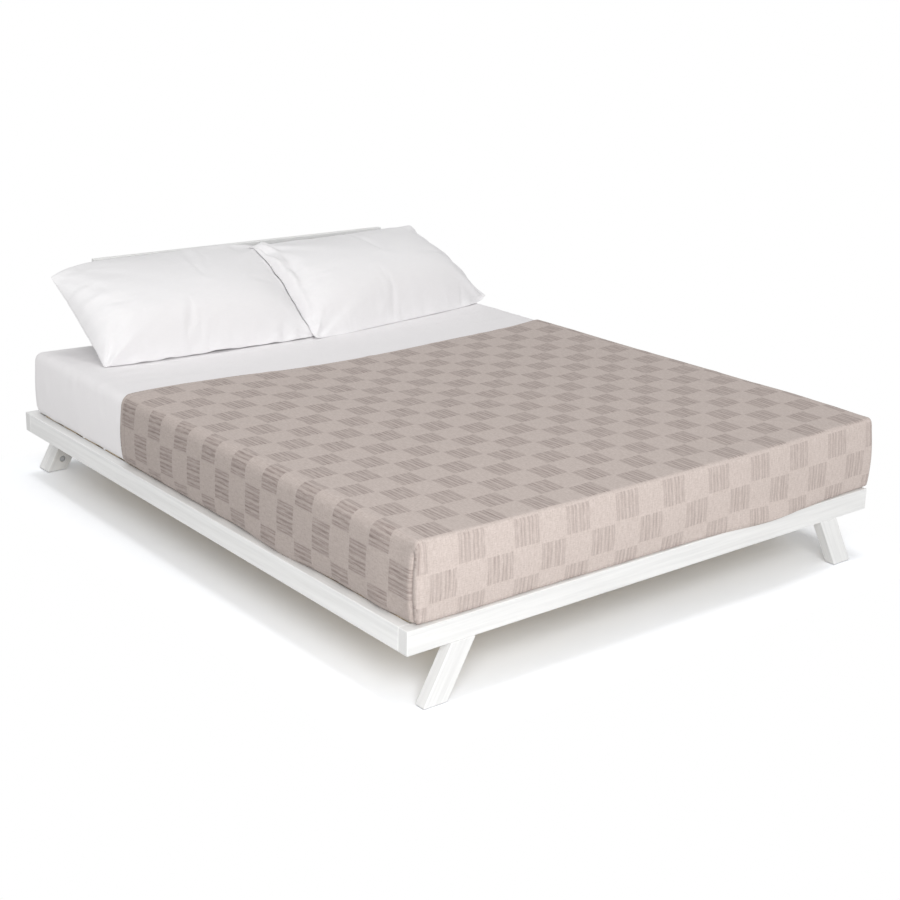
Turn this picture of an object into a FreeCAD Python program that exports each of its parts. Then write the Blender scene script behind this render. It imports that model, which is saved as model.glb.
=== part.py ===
import FreeCAD, Part
import Sketcher
import math
import os
import re

from FreeCAD import Placement, Rotation, Vector

# Double bed: a planed softwood frame on splayed legs with a low headboard, its slatted base, and
# the mattress, sheet, bedspread and pillows that lie on it.
# The origin is on the floor in the middle of the bed, with +X to the right seen from the foot,
# +Y towards the headboard and +Z up. Lengths are in millimetres and angles in degrees.

SIZES = {
    # Rails and legs, all cut from one planed stock
    "frame_width": 1616,
    "frame_length": 2020,
    "stock_width": 60,
    "stock_thickness": 33,
    "arris_radius": 2.5,
    "leg_height": 145,
    "leg_splay_angle": 29,
    "leg_inset": 47,
    # Headboard
    "headboard_top": 673,
    "headboard_inset": 247,
    "headboard_thickness": 20,
    "plank_height": 130,
    "plank_gap": 10,
    "post_top_drop": 26,
    # Slatted base
    "slat_count": 14,
    "slat_width": 80,
    "slat_thickness": 18,
    "slat_arris_radius": 2,
    "slat_side_gap": 2,
    "slat_end_gap": 40,
    "ledger_thickness": 25,
    "ledger_height": 35,
    "ledger_end_gap": 58,
    # Steel fittings
    "bracket_arm": 50,
    "bracket_height": 34,
    "bracket_thickness": 3,
    "bracket_headroom": 3,
    "bracket_screw_reach": 39,
    "plate_width": 44,
    "plate_length": 100,
    "plate_thickness": 3,
    "hanger_thickness": 3,
    "hanger_reach": 50,
    "hanger_ear": 25,
    "hanger_play": 0.4,
    # Fasteners
    "dowel_diameter": 10,
    "dowel_chamfer": 1,
    "rail_dowel_length": 50,
    "leg_dowel_length": 60,
    "screw_diameter": 4,
    "screw_head_diameter": 8,
    "screw_head_height": 2.4,
    "screw_play": 0.1,
    "bracket_screw_length": 20,
    "plate_screw_length": 14,
    "hanger_screw_length": 20,
    "ledger_screw_bite": 20,
    "slat_screw_bite": 17,
    "headboard_screw_bite": 12,
    "headboard_screw_recess": 10,
    "bolt_diameter": 8,
    "bolt_head_diameter": 17,
    "bolt_head_height": 4,
    "bolt_head_recess": 5,
    "bolt_end": 2,
    "bolt_play": 0.3,
    "nut_width": 13,
    "nut_height": 6.5,
    "nut_recess": 12,
    "nut_recess_diameter": 20,
    "washer_diameter": 18,
    "washer_thickness": 1.6,
    "low_bolt_height": 38,
    "mid_bolt_drop": 47,
    "rail_bolt_rise": 38,
    "leg_screw_length": 70,
    "pad_thickness": 2,
    "pad_inset": 3,
    # Mattress and cloth
    "mattress_height": 198,
    "mattress_crown": 8,
    "mattress_side_setback": 2,
    "mattress_foot_setback": 10,
    "mattress_head_gap": 6,
    "mattress_shift": 18,
    "corner_radius": 38,
    "shoulder_radius": 36,
    "tuck_radius": 30,
    "layer_gap": 0.3,
    "sheet_thickness": 1.7,
    "bedspread_thickness": 3,
    "bedspread_length": 1400,
    "corner_fold_width": 60,
    "corner_fold_depth": 4,
    # Pillows
    "pillow_width": 742,
    "pillow_height": 388,
    "pillow_front_depth": 116,
    "pillow_back_depth": 36,
    "pillow_lean_angle": 39,
    "pillow_gap": 2,
    "pillow_shift": 46,
    "pillowcase_thickness": 1.5,
    # How far a cut runs past the surface that it opens
    "cut_overrun": 5,
}

# Shares of the sizes that the pieces' details follow
rail_dowel_shares = (0.3, 0.7)
leg_dowel_share = 0.41
bracket_screw_shares = (0.27, 0.73)
plate_screw_shares = ((-0.38, -0.32), (-0.15, 0.32), (0.15, 0.32), (0.38, -0.32))
hanger_screw_shares = (0.3, 0.75)
beam_screw_share = 0.25
plank_screw_shares = (0.25, 0.75)
bolt_dome_share = 0.55

# A pillow's cross-section from one side seam to the other, as shares of its half width and its depth
pillow_section_shares = ((-1, 0), (-0.88, 0.5), (-0.6, 0.84), (0, 1), (0.6, 0.84), (0.88, 0.5), (1, 0))
# Its sections from the lower edge to the upper one: height, half width and fullness
pillow_loft_shares = (
    (0, 1, 0.1),
    (0.13, 0.985, 0.6),
    (0.5, 0.96, 1),
    (0.87, 0.985, 0.6),
    (1, 1, 0.1),
)
# How each pillow's upper edge lies: its shift sideways and its width, as shares of the pillow's width
pillow_top_shares = {"left": (-0.05, 1), "right": (-0.1, 0.88)}

SHEET_NAME = "Sizes"
LEFT, RIGHT = -1, 1
UP = Vector(0, 0, 1)
FULL_TURN = 360
HEX_SIDES = 6
ARC_MIDDLE_SHARE = 1 - math.sqrt(0.5)

document = FreeCAD.newDocument("DoubleBed")
sheet = document.addObject("Spreadsheet::Sheet", SHEET_NAME)
for row, (alias, number) in enumerate(SIZES.items(), start=1):
    sheet.set(f"A{row}", str(number))
    sheet.setAlias(f"A{row}", alias)
document.recompute()

# Places that several pieces share, as formulas of the sizes
SPLAY = "leg_splay_angle * 1 deg"
FOOT_FACE = "(-(frame_length + stock_thickness) / 2)"
FOOT_INNER = f"({FOOT_FACE} + stock_thickness)"
HEAD_FACE = f"({FOOT_FACE} + frame_length)"
HEAD_INNER = f"({HEAD_FACE} - stock_thickness)"
BACK_FACE = f"({HEAD_FACE} + stock_thickness)"
SIDE_FACE = "(frame_width / 2)"
SIDE_INNER = "(frame_width / 2 - stock_thickness)"
INNER_LENGTH = "(frame_length - 2 * stock_thickness)"
RAIL_TOP = "(leg_height + stock_width)"
SLAT_SEAT = f"({RAIL_TOP} - slat_thickness)"
BEAM_BOTTOM = f"({SLAT_SEAT} - stock_thickness)"
LEG_WIDTH = f"(stock_width / cos({SPLAY}))"
LEG_FOOT = f"(-frame_width / 2 + leg_inset + pad_thickness * tan({SPLAY}))"
POST_TOP = "(headboard_top - post_top_drop)"
SLAT_PITCH = f"(({INNER_LENGTH} - 2 * slat_end_gap - slat_width) / (slat_count - 1))"
BRACKET_TOP = f"({SLAT_SEAT} - bracket_headroom)"
BEDDING_SEAT = f"({RAIL_TOP} + layer_gap)"


def formula(text):
    """Point each size name in a formula at its cell of the sheet."""
    return re.sub(r"[a-z]+(?:_[a-z]+)+", lambda found: f"{SHEET_NAME}.{found.group()}", text)


def size(text):
    """Value of a formula of the sizes."""
    return float(sheet.evalExpression(formula(text)))


def bind(thing, formulas):
    """Tie properties of an object to formulas of the sizes."""
    for path, text in formulas.items():
        thing.setExpression(path, formula(text))


def bind_place(thing, place):
    """Tie an object's place to three formulas."""
    bind(thing, {f"Placement.Base.{axis}": text for axis, text in zip("xyz", place)})


# Pieces cut from boards and plates


def outline_sketch(body, width, height, lean):
    """Four-sided outline seen from the foot, whose lower left corner is at the body's origin."""
    sketch = body.newObject("Sketcher::SketchObject", body.Name + "_outline")
    plane = next(feature for feature in body.Origin.OriginFeatures if feature.Role == "XZ_Plane")
    sketch.AttachmentSupport = [(plane, "")]
    sketch.MapMode = "FlatFace"
    wide, high, run = size(width), size(height), size(lean) if lean else 0
    corners = [Vector(0, 0), Vector(wide, 0), Vector(wide + run, high), Vector(run, high)]
    for start, end in zip(corners, corners[1:] + corners[:1]):
        sketch.addGeometry(Part.LineSegment(start, end))
    bottom, right, top, left = range(len(corners))
    start_point, end_point, sketch_origin = 1, 2, -1
    for line in (bottom, right, top):
        sketch.addConstraint(Sketcher.Constraint("Coincident", line, end_point, line + 1, start_point))
    sketch.addConstraint(Sketcher.Constraint("Coincident", left, end_point, bottom, start_point))
    sketch.addConstraint(Sketcher.Constraint("Coincident", bottom, start_point, sketch_origin, start_point))
    sketch.addConstraint(Sketcher.Constraint("Horizontal", bottom))
    sketch.addConstraint(Sketcher.Constraint("Horizontal", top))
    sketch.addConstraint(Sketcher.Constraint("Equal", bottom, top))
    driven = {
        "width": ("DistanceX", bottom, wide, width),
        "height": ("DistanceY", right, high, height),
    }
    if lean:
        driven["lean"] = ("DistanceX", right, run, lean)
    else:
        sketch.addConstraint(Sketcher.Constraint("Vertical", right))
    for name, (kind, line, number, text) in driven.items():
        index = sketch.addConstraint(Sketcher.Constraint(kind, line, start_point, line, end_point, number))
        sketch.renameConstraint(index, name)
        bind(sketch, {f"Constraints.{name}": text})
    return sketch


def board(label, width, height, depth, place, lean=None, arris="arris_radius"):
    """Straight board or plate: an outline seen from the foot, its depth towards the head, eased edges."""
    body = document.addObject("PartDesign::Body", label)
    body.Label = label
    sketch = outline_sketch(body, width, height, lean)
    pad = body.newObject("PartDesign::Pad", label + "_pad")
    pad.Profile = sketch
    pad.Reversed = True
    bind(pad, {"Length": depth})
    if arris:
        document.recompute()
        easing = body.newObject("PartDesign::Fillet", label + "_arris")
        easing.Base = (pad, [""])
        easing.UseAllEdges = True
        bind(easing, {"Radius": arris})
    bind_place(body, place)
    return body


def block(label, across, along, upward):
    """Box between three pairs of formulas, for X, Y and Z."""
    box = document.addObject("Part::Box", label)
    bind(
        box,
        {
            "Length": f"({across[1]}) - ({across[0]})",
            "Width": f"({along[1]}) - ({along[0]})",
            "Height": f"({upward[1]}) - ({upward[0]})",
        },
    )
    bind_place(box, (across[0], along[0], upward[0]))
    return box


def joined(label, *pieces):
    """One solid made of pieces that meet."""
    fusion = document.addObject("Part::MultiFuse", label)
    fusion.Shapes = list(pieces)
    fusion.Refine = True
    return fusion


def drilled(label, piece, *hole_groups):
    """A piece with the holes of its fasteners."""
    holes = document.addObject("Part::Compound", label + "_holes")
    holes.Links = list(hole_groups)
    cut = document.addObject("Part::Cut", label)
    cut.Base = piece
    cut.Tool = holes
    return cut


def mirrored(label, piece):
    """The same piece on the other side of the bed."""
    mirror = document.addObject("Part::Mirroring", label)
    mirror.Source = piece
    mirror.Normal = Vector(1, 0, 0)
    return mirror


def shaped(label, shape):
    """Object of the document that holds a ready shape."""
    feature = document.addObject("Part::Feature", label)
    feature.Shape = shape
    return feature


# Fasteners, each turned about its axis, with its head's face at height zero


def turned(profile, place, outward):
    """Solid of revolution of (radius, height) points, set at a place with its head facing outward."""
    points = [Vector(radius, 0, height) for radius, height in profile]
    face = Part.Face(Part.makePolygon(points + points[:1]))
    solid = face.revolve(Vector(), UP, FULL_TURN)
    solid.Placement = Placement(place, Rotation(UP, outward))
    return solid


def fastener_group(label, seats, profile, hole_profile):
    """Like fasteners on their seats, and the holes that they sit in."""
    fasteners = [turned(profile, *seat) for seat in seats]
    holes = [turned(hole_profile, *seat) for seat in seats]
    group = shaped(label, Part.makeCompound(fasteners))
    return group, shaped(label + "_bores", Part.makeCompound(holes))


def screw_profile(length):
    """Countersunk wood screw."""
    head, shank = size("screw_head_diameter / 2"), size("screw_diameter / 2")
    neck = size("screw_head_height")
    tip = size("screw_diameter")
    return ((0, 0), (head, 0), (shank, -neck), (shank, tip - length), (0, -length))


def screw_hole(length, recess=0):
    """Pilot hole and countersink of a wood screw, open above its head."""
    play = size("screw_play")
    head, shank = size("screw_head_diameter / 2") + play, size("screw_diameter / 2") + play
    neck, mouth, bottom = size("screw_head_height"), recess + size("cut_overrun"), length + play
    return ((0, mouth), (head, mouth), (head, 0), (shank, -neck), (shank, -bottom), (0, -bottom))


def dowel_profile(length, play=0):
    """Chamfered dowel about its middle."""
    radius, half = size("dowel_diameter / 2") + play, length / 2 + play
    chamfer = size("dowel_chamfer")
    neck = radius - chamfer
    upper = ((0, half), (neck, half), (radius, half - chamfer))
    lower = ((radius, chamfer - half), (neck, -half), (0, -half))
    return upper + lower


def bolt_profile(shank_length):
    """Bolt with a low domed head that stands on height zero."""
    head, shank, high = size("bolt_head_diameter / 2"), size("bolt_diameter / 2"), size("bolt_head_height")
    dome = head * bolt_dome_share
    return ((0, high), (dome, high), (head, 0), (shank, 0), (shank, -shank_length), (0, -shank_length))


def leg_axis(height):
    """Distance of a left leg's middle line from the bed's middle, at a height."""
    return f"(-frame_width / 2 + leg_inset + {LEG_WIDTH} / 2 + ({height}) * tan({SPLAY}))"


def rail_dowel_seats():
    """Dowels in the butt joints of the side rails."""
    for side in (LEFT, RIGHT):
        for joint in (FOOT_INNER, HEAD_INNER):
            for share in rail_dowel_shares:
                across = side * size(f"{SIDE_FACE} - stock_thickness / 2")
                upward = size("leg_height") + share * size("stock_width")
                yield Vector(across, size(joint), upward), Vector(0, 1, 0)


def leg_dowel_seats():
    """Upright dowel between each leg and its rail."""
    outer = size(f"frame_width / 2 - leg_inset - leg_height * tan({SPLAY})")
    for side in (LEFT, RIGHT):
        for face in (FOOT_FACE, HEAD_INNER):
            across = side * (outer - leg_dowel_share * size(LEG_WIDTH))
            yield Vector(across, size(f"{face} + stock_thickness / 2"), size("leg_height")), UP


def bracket_screw_seats():
    """Two screws through each arm of the corner brackets."""
    thickness, reach = size("bracket_thickness"), size("bracket_screw_reach")
    inner = size(SIDE_INNER)
    for side in (LEFT, RIGHT):
        for joint, inward in ((FOOT_INNER, 1), (HEAD_INNER, -1)):
            for share in bracket_screw_shares:
                upward = size(BRACKET_TOP) - share * size("bracket_height")
                side_seat = Vector(side * (inner - thickness), size(joint) + inward * reach, upward)
                yield side_seat, Vector(-side, 0, 0)
                end_seat = Vector(side * (inner - reach), size(joint) + inward * thickness, upward)
                yield end_seat, Vector(0, inward, 0)


def plate_screw_seats():
    """Screws through the leg plates, half in the rail and half in the leg."""
    lean = math.radians(size("leg_splay_angle"))
    middle = size(leg_axis("leg_height"))
    for side in (LEFT, RIGHT):
        for along_share, across_share in plate_screw_shares:
            along, across = along_share * size("plate_length"), across_share * size("plate_width")
            outward = middle + along * math.sin(lean) + across * math.cos(lean)
            upward = size("leg_height") + along * math.cos(lean) - across * math.sin(lean)
            yield Vector(-side * outward, size(f"{FOOT_INNER} + plate_thickness"), upward), Vector(0, 1, 0)


def hanger_screw_seats():
    """Screws through the ears and the cheeks of the beam hangers."""
    cheek = size("stock_width / 2 + hanger_play + hanger_thickness")
    ear = cheek + size("hanger_ear / 2")
    thickness, reach = size("hanger_thickness"), size("hanger_reach / 2")
    for side in (LEFT, RIGHT):
        for joint, inward in ((FOOT_INNER, 1), (HEAD_INNER, -1)):
            for share in hanger_screw_shares:
                upward = size(BEAM_BOTTOM) + share * size("stock_thickness")
                yield Vector(side * ear, size(joint) + inward * thickness, upward), Vector(0, inward, 0)
            middle = size(f"{BEAM_BOTTOM} + stock_thickness / 2")
            yield Vector(side * cheek, size(joint) + inward * (thickness + reach), middle), Vector(side, 0, 0)


def slat_middles():
    """Middle of each slat along the bed."""
    first = size(f"{FOOT_INNER} + slat_end_gap + slat_width / 2")
    return [first + index * size(SLAT_PITCH) for index in range(round(size("slat_count")))]


def slat_screw_seats():
    """A screw at each end of a slat, into its ledger, and one into the centre beam."""
    ledger = size(f"{SIDE_INNER} - ledger_thickness / 2")
    for along in slat_middles():
        for across in (-ledger, beam_screw_share * size("stock_width"), ledger):
            yield Vector(across, along, size(RAIL_TOP)), UP


def ledger_screw_seats():
    """Screws through each ledger into its side rail, under every second gap between slats."""
    middles = slat_middles()
    upward = size(f"{SLAT_SEAT} - ledger_height / 2")
    for side in (LEFT, RIGHT):
        for before, after in list(zip(middles, middles[1:]))[::2]:
            across = side * size(f"{SIDE_INNER} - ledger_thickness")
            yield Vector(across, (before + after) / 2, upward), Vector(-side, 0, 0)


def post_screw_seats():
    """Recessed screws through the posts into the headboard's planks."""
    for side in (LEFT, RIGHT):
        for plank in PLANKS.values():
            for share in plank_screw_shares:
                upward = size(plank) + share * size("plank_height")
                across = -side * size(leg_axis(str(upward)))
                yield Vector(across, size(f"{BACK_FACE} - headboard_screw_recess"), upward), Vector(0, 1, 0)


def bolt_axes():
    """Where the bolts through each post cross its middle line."""
    for side in (LEFT, RIGHT):
        for upward in ("low_bolt_height", "leg_height - mid_bolt_drop", "leg_height + rail_bolt_rise"):
            yield -side * size(leg_axis(upward)), size(upward)


PLANKS = {
    "headboard_plank_upper": "(headboard_top - plank_height)",
    "headboard_plank_lower": "(headboard_top - 2 * plank_height - plank_gap)",
}

rail_dowels, rail_dowel_bores = fastener_group(
    "rail_dowels",
    list(rail_dowel_seats()),
    dowel_profile(size("rail_dowel_length")),
    dowel_profile(size("rail_dowel_length"), size("screw_play")),
)
leg_dowels, leg_dowel_bores = fastener_group(
    "leg_dowels",
    list(leg_dowel_seats()),
    dowel_profile(size("leg_dowel_length")),
    dowel_profile(size("leg_dowel_length"), size("screw_play")),
)


def screw_group(label, seats, length, recess="0"):
    """Wood screws of one length on their seats, with their holes."""
    long = size(length)
    return fastener_group(label, list(seats), screw_profile(long), screw_hole(long, size(recess)))


bracket_screws, bracket_bores = screw_group("bracket_screws", bracket_screw_seats(), "bracket_screw_length")
plate_screws, plate_bores = screw_group("plate_screws", plate_screw_seats(), "plate_screw_length")
hanger_screws, hanger_bores = screw_group("hanger_screws", hanger_screw_seats(), "hanger_screw_length")
slat_screws, slat_bores = screw_group("slat_screws", slat_screw_seats(), "slat_thickness + slat_screw_bite")
ledger_screws, ledger_bores = screw_group(
    "ledger_screws", ledger_screw_seats(), "ledger_thickness + ledger_screw_bite"
)
headboard_screws, headboard_bores = screw_group(
    "headboard_screws",
    post_screw_seats(),
    "stock_thickness - headboard_screw_recess + headboard_screw_bite",
    "headboard_screw_recess",
)

# Bolts that clamp each post to its leg and to the head rail, with their nuts and washers sunk in front

BOLT_HEAD_SEAT = f"({BACK_FACE} - bolt_head_recess)"
WASHER_SEAT = f"({HEAD_INNER} + nut_recess)"
BOLT_LENGTH = f"({BOLT_HEAD_SEAT} - {WASHER_SEAT} + washer_thickness + nut_height + bolt_end)"


def bolt_hole():
    """Bore of a bolt with the sinkings for its head behind and its nut in front."""
    play, overrun = size("bolt_play"), size("cut_overrun")
    head, shank = size("bolt_head_diameter / 2") + play, size("bolt_diameter / 2") + play
    nut, front = size("nut_recess_diameter / 2"), size(f"{BOLT_HEAD_SEAT} - {WASHER_SEAT}")
    mouth, bottom = size("bolt_head_recess") + overrun, front + size("nut_recess") + overrun
    rear = ((0, mouth), (head, mouth), (head, 0), (shank, 0))
    return rear + ((shank, -front), (nut, -front), (nut, -bottom), (0, -bottom))


def hex_nut(place, outward):
    """Hexagon nut whose back lies on a place."""
    corner = size("nut_width / 2") / math.cos(math.pi / HEX_SIDES)
    angles = [math.tau * index / HEX_SIDES for index in range(HEX_SIDES)]
    points = [Vector(corner * math.cos(angle), corner * math.sin(angle), 0) for angle in angles]
    prism = Part.Face(Part.makePolygon(points + points[:1])).extrude(UP * size("nut_height"))
    bore = Part.makeCylinder(size("bolt_diameter / 2 + screw_play"), size("nut_height"))
    nut = prism.cut(bore)
    nut.Placement = Placement(place, Rotation(UP, outward))
    return nut


forward, backward = Vector(0, -1, 0), Vector(0, 1, 0)
bolt_places = [(Vector(across, size(BOLT_HEAD_SEAT), upward), backward) for across, upward in bolt_axes()]
washer_places = [(Vector(across, size(WASHER_SEAT), upward), forward) for across, upward in bolt_axes()]
nut_seat = size(f"{WASHER_SEAT} - washer_thickness")
nut_places = [(Vector(across, nut_seat, upward), forward) for across, upward in bolt_axes()]
washer_inner, washer_outer = size("bolt_diameter / 2 + bolt_play"), size("washer_diameter / 2")
washer_ring = (
    (washer_inner, 0),
    (washer_outer, 0),
    (washer_outer, size("washer_thickness")),
    (washer_inner, size("washer_thickness")),
)
bolt = bolt_profile(size(BOLT_LENGTH))
post_bolts, bolt_bores = fastener_group("post_bolts", bolt_places, bolt, bolt_hole())
washers = [turned(washer_ring, *seat) for seat in washer_places]
post_washers = shaped("post_washers", Part.makeCompound(washers))
post_nuts = shaped("post_nuts", Part.makeCompound([hex_nut(*seat) for seat in nut_places]))

# Rails, butted at the corners: the end rails run the full width and the side rails fit between them


def end_rail(label, front):
    """Rail across the whole width, with its front face at a place along the bed."""
    place = (f"-{SIDE_FACE}", front, "leg_height")
    return board(label, "frame_width", "stock_width", "stock_thickness", place)


side_rail_place = (f"-{SIDE_FACE}", FOOT_INNER, "leg_height")
side_rail_blank = board("side_rail_blank", "stock_thickness", "stock_width", INNER_LENGTH, side_rail_place)
foot_rail = drilled(
    "foot_rail",
    end_rail("foot_rail_blank", FOOT_FACE),
    rail_dowel_bores,
    leg_dowel_bores,
    bracket_bores,
    plate_bores,
    hanger_bores,
)
head_rail = drilled(
    "head_rail",
    end_rail("head_rail_blank", HEAD_INNER),
    rail_dowel_bores,
    leg_dowel_bores,
    bracket_bores,
    hanger_bores,
    bolt_bores,
)
side_rail_left = drilled("side_rail_left", side_rail_blank, rail_dowel_bores, bracket_bores, ledger_bores)
side_rail_right = mirrored("side_rail_right", side_rail_left)

# Splayed legs under the end rails, and the leaning posts that carry the headboard


def leaning_board(label, front, top):
    """Board of leg stock that leans inwards from the floor pad to a level top."""
    height = f"({top} - pad_thickness)"
    lean = f"{height} * tan({SPLAY})"
    return board(label, LEG_WIDTH, height, "stock_thickness", (LEG_FOOT, front, "pad_thickness"), lean)


foot_leg_blank = leaning_board("leg_foot_blank", FOOT_FACE, "leg_height")
head_leg_blank = leaning_board("leg_head_blank", HEAD_INNER, "leg_height")
post_blank = leaning_board("headboard_post_blank", HEAD_FACE, POST_TOP)
leg_foot_left = drilled("leg_foot_left", foot_leg_blank, leg_dowel_bores, plate_bores)
leg_foot_right = mirrored("leg_foot_right", leg_foot_left)
leg_head_left = drilled("leg_head_left", head_leg_blank, leg_dowel_bores, bolt_bores)
leg_head_right = mirrored("leg_head_right", leg_head_left)
headboard_post_left = drilled("headboard_post_left", post_blank, bolt_bores, headboard_bores)
headboard_post_right = mirrored("headboard_post_right", headboard_post_left)

headboard_planks = []
for plank_label, plank_bottom in PLANKS.items():
    plank_place = (f"-{SIDE_FACE} + headboard_inset", f"{HEAD_FACE} - headboard_thickness", plank_bottom)
    plank_width = "frame_width - 2 * headboard_inset"
    plank = board(plank_label + "_blank", plank_width, "plank_height", "headboard_thickness", plank_place)
    headboard_planks.append(drilled(plank_label, plank, headboard_bores))

# Slatted base: ledgers along the side rails, a centre beam on its leg, and the slats across them

ledger_place = (f"-{SIDE_INNER}", f"{FOOT_INNER} + ledger_end_gap", f"{SLAT_SEAT} - ledger_height")
ledger_length = f"{INNER_LENGTH} - 2 * ledger_end_gap"
ledger_section = ("ledger_thickness", "ledger_height")
ledger_blank = board(
    "slat_ledger_blank", *ledger_section, ledger_length, ledger_place, arris="slat_arris_radius"
)
slat_ledger_left = drilled("slat_ledger_left", ledger_blank, slat_bores, ledger_bores)
slat_ledger_right = mirrored("slat_ledger_right", slat_ledger_left)

mid_length = size(f"{FOOT_INNER} + {INNER_LENGTH} / 2")
leg_screw_seat = (Vector(0, mid_length, size(f"{SLAT_SEAT} - bolt_head_recess")), UP)
leg_screw_play = size("bolt_play")


def leg_screw_hole():
    """Bore of the centre leg's screw, sunk into the beam's top."""
    head, shank = size("bolt_head_diameter / 2") + leg_screw_play, size("bolt_diameter / 2") + leg_screw_play
    mouth, bottom = size("bolt_head_recess + cut_overrun"), size("leg_screw_length") + leg_screw_play
    return ((0, mouth), (head, mouth), (head, 0), (shank, 0), (shank, -bottom), (0, -bottom))


centre_leg_screw, leg_screw_bore = fastener_group(
    "centre_leg_screw", [leg_screw_seat], bolt_profile(size("leg_screw_length")), leg_screw_hole()
)
beam_place = ("-stock_width / 2", f"{FOOT_INNER} + hanger_thickness", BEAM_BOTTOM)
beam_length = f"{INNER_LENGTH} - 2 * hanger_thickness"
beam_blank = board("centre_beam_blank", "stock_width", "stock_thickness", beam_length, beam_place)
centre_beam = drilled("centre_beam", beam_blank, slat_bores, hanger_bores, leg_screw_bore)
leg_place = ("-stock_width / 2", f"{FOOT_INNER} + ({INNER_LENGTH} - stock_thickness) / 2", "pad_thickness")
leg_length = f"{BEAM_BOTTOM} - pad_thickness"
centre_leg_blank = board("centre_leg_blank", "stock_width", leg_length, "stock_thickness", leg_place)
centre_leg = drilled("centre_leg", centre_leg_blank, leg_screw_bore)

SLAT_LENGTH = f"(2 * ({SIDE_INNER} - slat_side_gap))"


def slat(index):
    """One slat across the bed, counted from the foot."""
    label = f"slat_{index + 1:02d}"
    along = f"{FOOT_INNER} + slat_end_gap + {index} * {SLAT_PITCH}"
    place = (f"-{SLAT_LENGTH} / 2", along, SLAT_SEAT)
    section = (SLAT_LENGTH, "slat_thickness", "slat_width")
    blank = board(label + "_blank", *section, place, arris="slat_arris_radius")
    return drilled(label, blank, slat_bores)


slats = [slat(index) for index in range(round(size("slat_count")))]

# Steel fittings: corner brackets, leg plates and beam hangers


def corner_bracket(label, end_arm, side_arm):
    """Angle bracket in a left corner, from the spans of its two arms along the bed."""
    upward = (f"{BRACKET_TOP} - bracket_height", BRACKET_TOP)
    corner = f"-{SIDE_INNER}"
    end = block(label + "_end_arm", (corner, f"{corner} + bracket_arm"), end_arm, upward)
    side = block(label + "_side_arm", (corner, f"{corner} + bracket_thickness"), side_arm, upward)
    return drilled(label, joined(label + "_blank", end, side), bracket_bores)


corner_bracket_foot_left = corner_bracket(
    "corner_bracket_foot_left",
    (FOOT_INNER, f"{FOOT_INNER} + bracket_thickness"),
    (FOOT_INNER, f"{FOOT_INNER} + bracket_arm"),
)
corner_bracket_head_left = corner_bracket(
    "corner_bracket_head_left",
    (f"{HEAD_INNER} - bracket_thickness", HEAD_INNER),
    (f"{HEAD_INNER} - bracket_arm", HEAD_INNER),
)
corner_bracket_foot_right = mirrored("corner_bracket_foot_right", corner_bracket_foot_left)
corner_bracket_head_right = mirrored("corner_bracket_head_right", corner_bracket_head_left)

plate_corner = (
    f"{leg_axis('leg_height')} - plate_length / 2 * sin({SPLAY}) - plate_width / 2 * cos({SPLAY})",
    FOOT_INNER,
    f"leg_height - plate_length / 2 * cos({SPLAY}) + plate_width / 2 * sin({SPLAY})",
)
plate_outline = ("plate_width", "plate_length")
plate_blank = board("leg_plate_blank", *plate_outline, "plate_thickness", plate_corner, arris=None)
plate_blank.Placement = Placement(Vector(), Rotation(Vector(0, 1, 0), size("leg_splay_angle")))
bind(plate_blank, {"Placement.Rotation.Angle": "leg_splay_angle"})
leg_plate_left = drilled("leg_plate_left", plate_blank, plate_bores)
leg_plate_right = mirrored("leg_plate_right", leg_plate_left)


def beam_hanger(label, ear_span, seat_span):
    """Folded hanger: ears on the rail, a seat under the beam and a cheek on each side of it."""
    inside, outside = "(stock_width / 2 + hanger_play)", "(stock_width / 2 + hanger_play + hanger_thickness)"
    under = f"({BEAM_BOTTOM} - hanger_thickness)"
    ear_end = f"({outside} + hanger_ear)"
    ears = block(label + "_ears", (f"-{ear_end}", ear_end), ear_span, (under, SLAT_SEAT))
    seat = block(label + "_seat", (f"-{outside}", outside), seat_span, (under, BEAM_BOTTOM))
    left = block(label + "_left_cheek", (f"-{outside}", f"-{inside}"), seat_span, (under, SLAT_SEAT))
    right = block(label + "_right_cheek", (inside, outside), seat_span, (under, SLAT_SEAT))
    return drilled(label, joined(label + "_blank", ears, seat, left, right), hanger_bores)


beam_hanger_foot = beam_hanger(
    "beam_hanger_foot",
    (FOOT_INNER, f"{FOOT_INNER} + hanger_thickness"),
    (FOOT_INNER, f"{FOOT_INNER} + hanger_thickness + hanger_reach"),
)
beam_hanger_head = beam_hanger(
    "beam_hanger_head",
    (f"{HEAD_INNER} - hanger_thickness", HEAD_INNER),
    (f"{HEAD_INNER} - hanger_thickness - hanger_reach", HEAD_INNER),
)

# Felt pads under every board that stands on the floor


def felt_pad(low_across, low_along, width, depth):
    """Pad set in from the edges of a board's sole."""
    inset = size("pad_inset")
    place = Vector(low_across + inset, low_along + inset, 0)
    return Part.makeBox(width - 2 * inset, depth - 2 * inset, size("pad_thickness"), place)


sole_width, sole_depth, sole_left = size(LEG_WIDTH), size("stock_thickness"), size(LEG_FOOT)
pads = []
for sole_front in (FOOT_FACE, HEAD_INNER, HEAD_FACE):
    for sole_edge in (sole_left, -sole_left - sole_width):
        pads.append(felt_pad(sole_edge, size(sole_front), sole_width, sole_depth))
pads.append(felt_pad(size(leg_place[0]), size(leg_place[1]), size("stock_width"), sole_depth))
felt_pads = shaped("felt_pads", Part.makeCompound(pads))

# Mattress with its sheet and bedspread: one rounded block, grown a little for each layer over it

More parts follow.
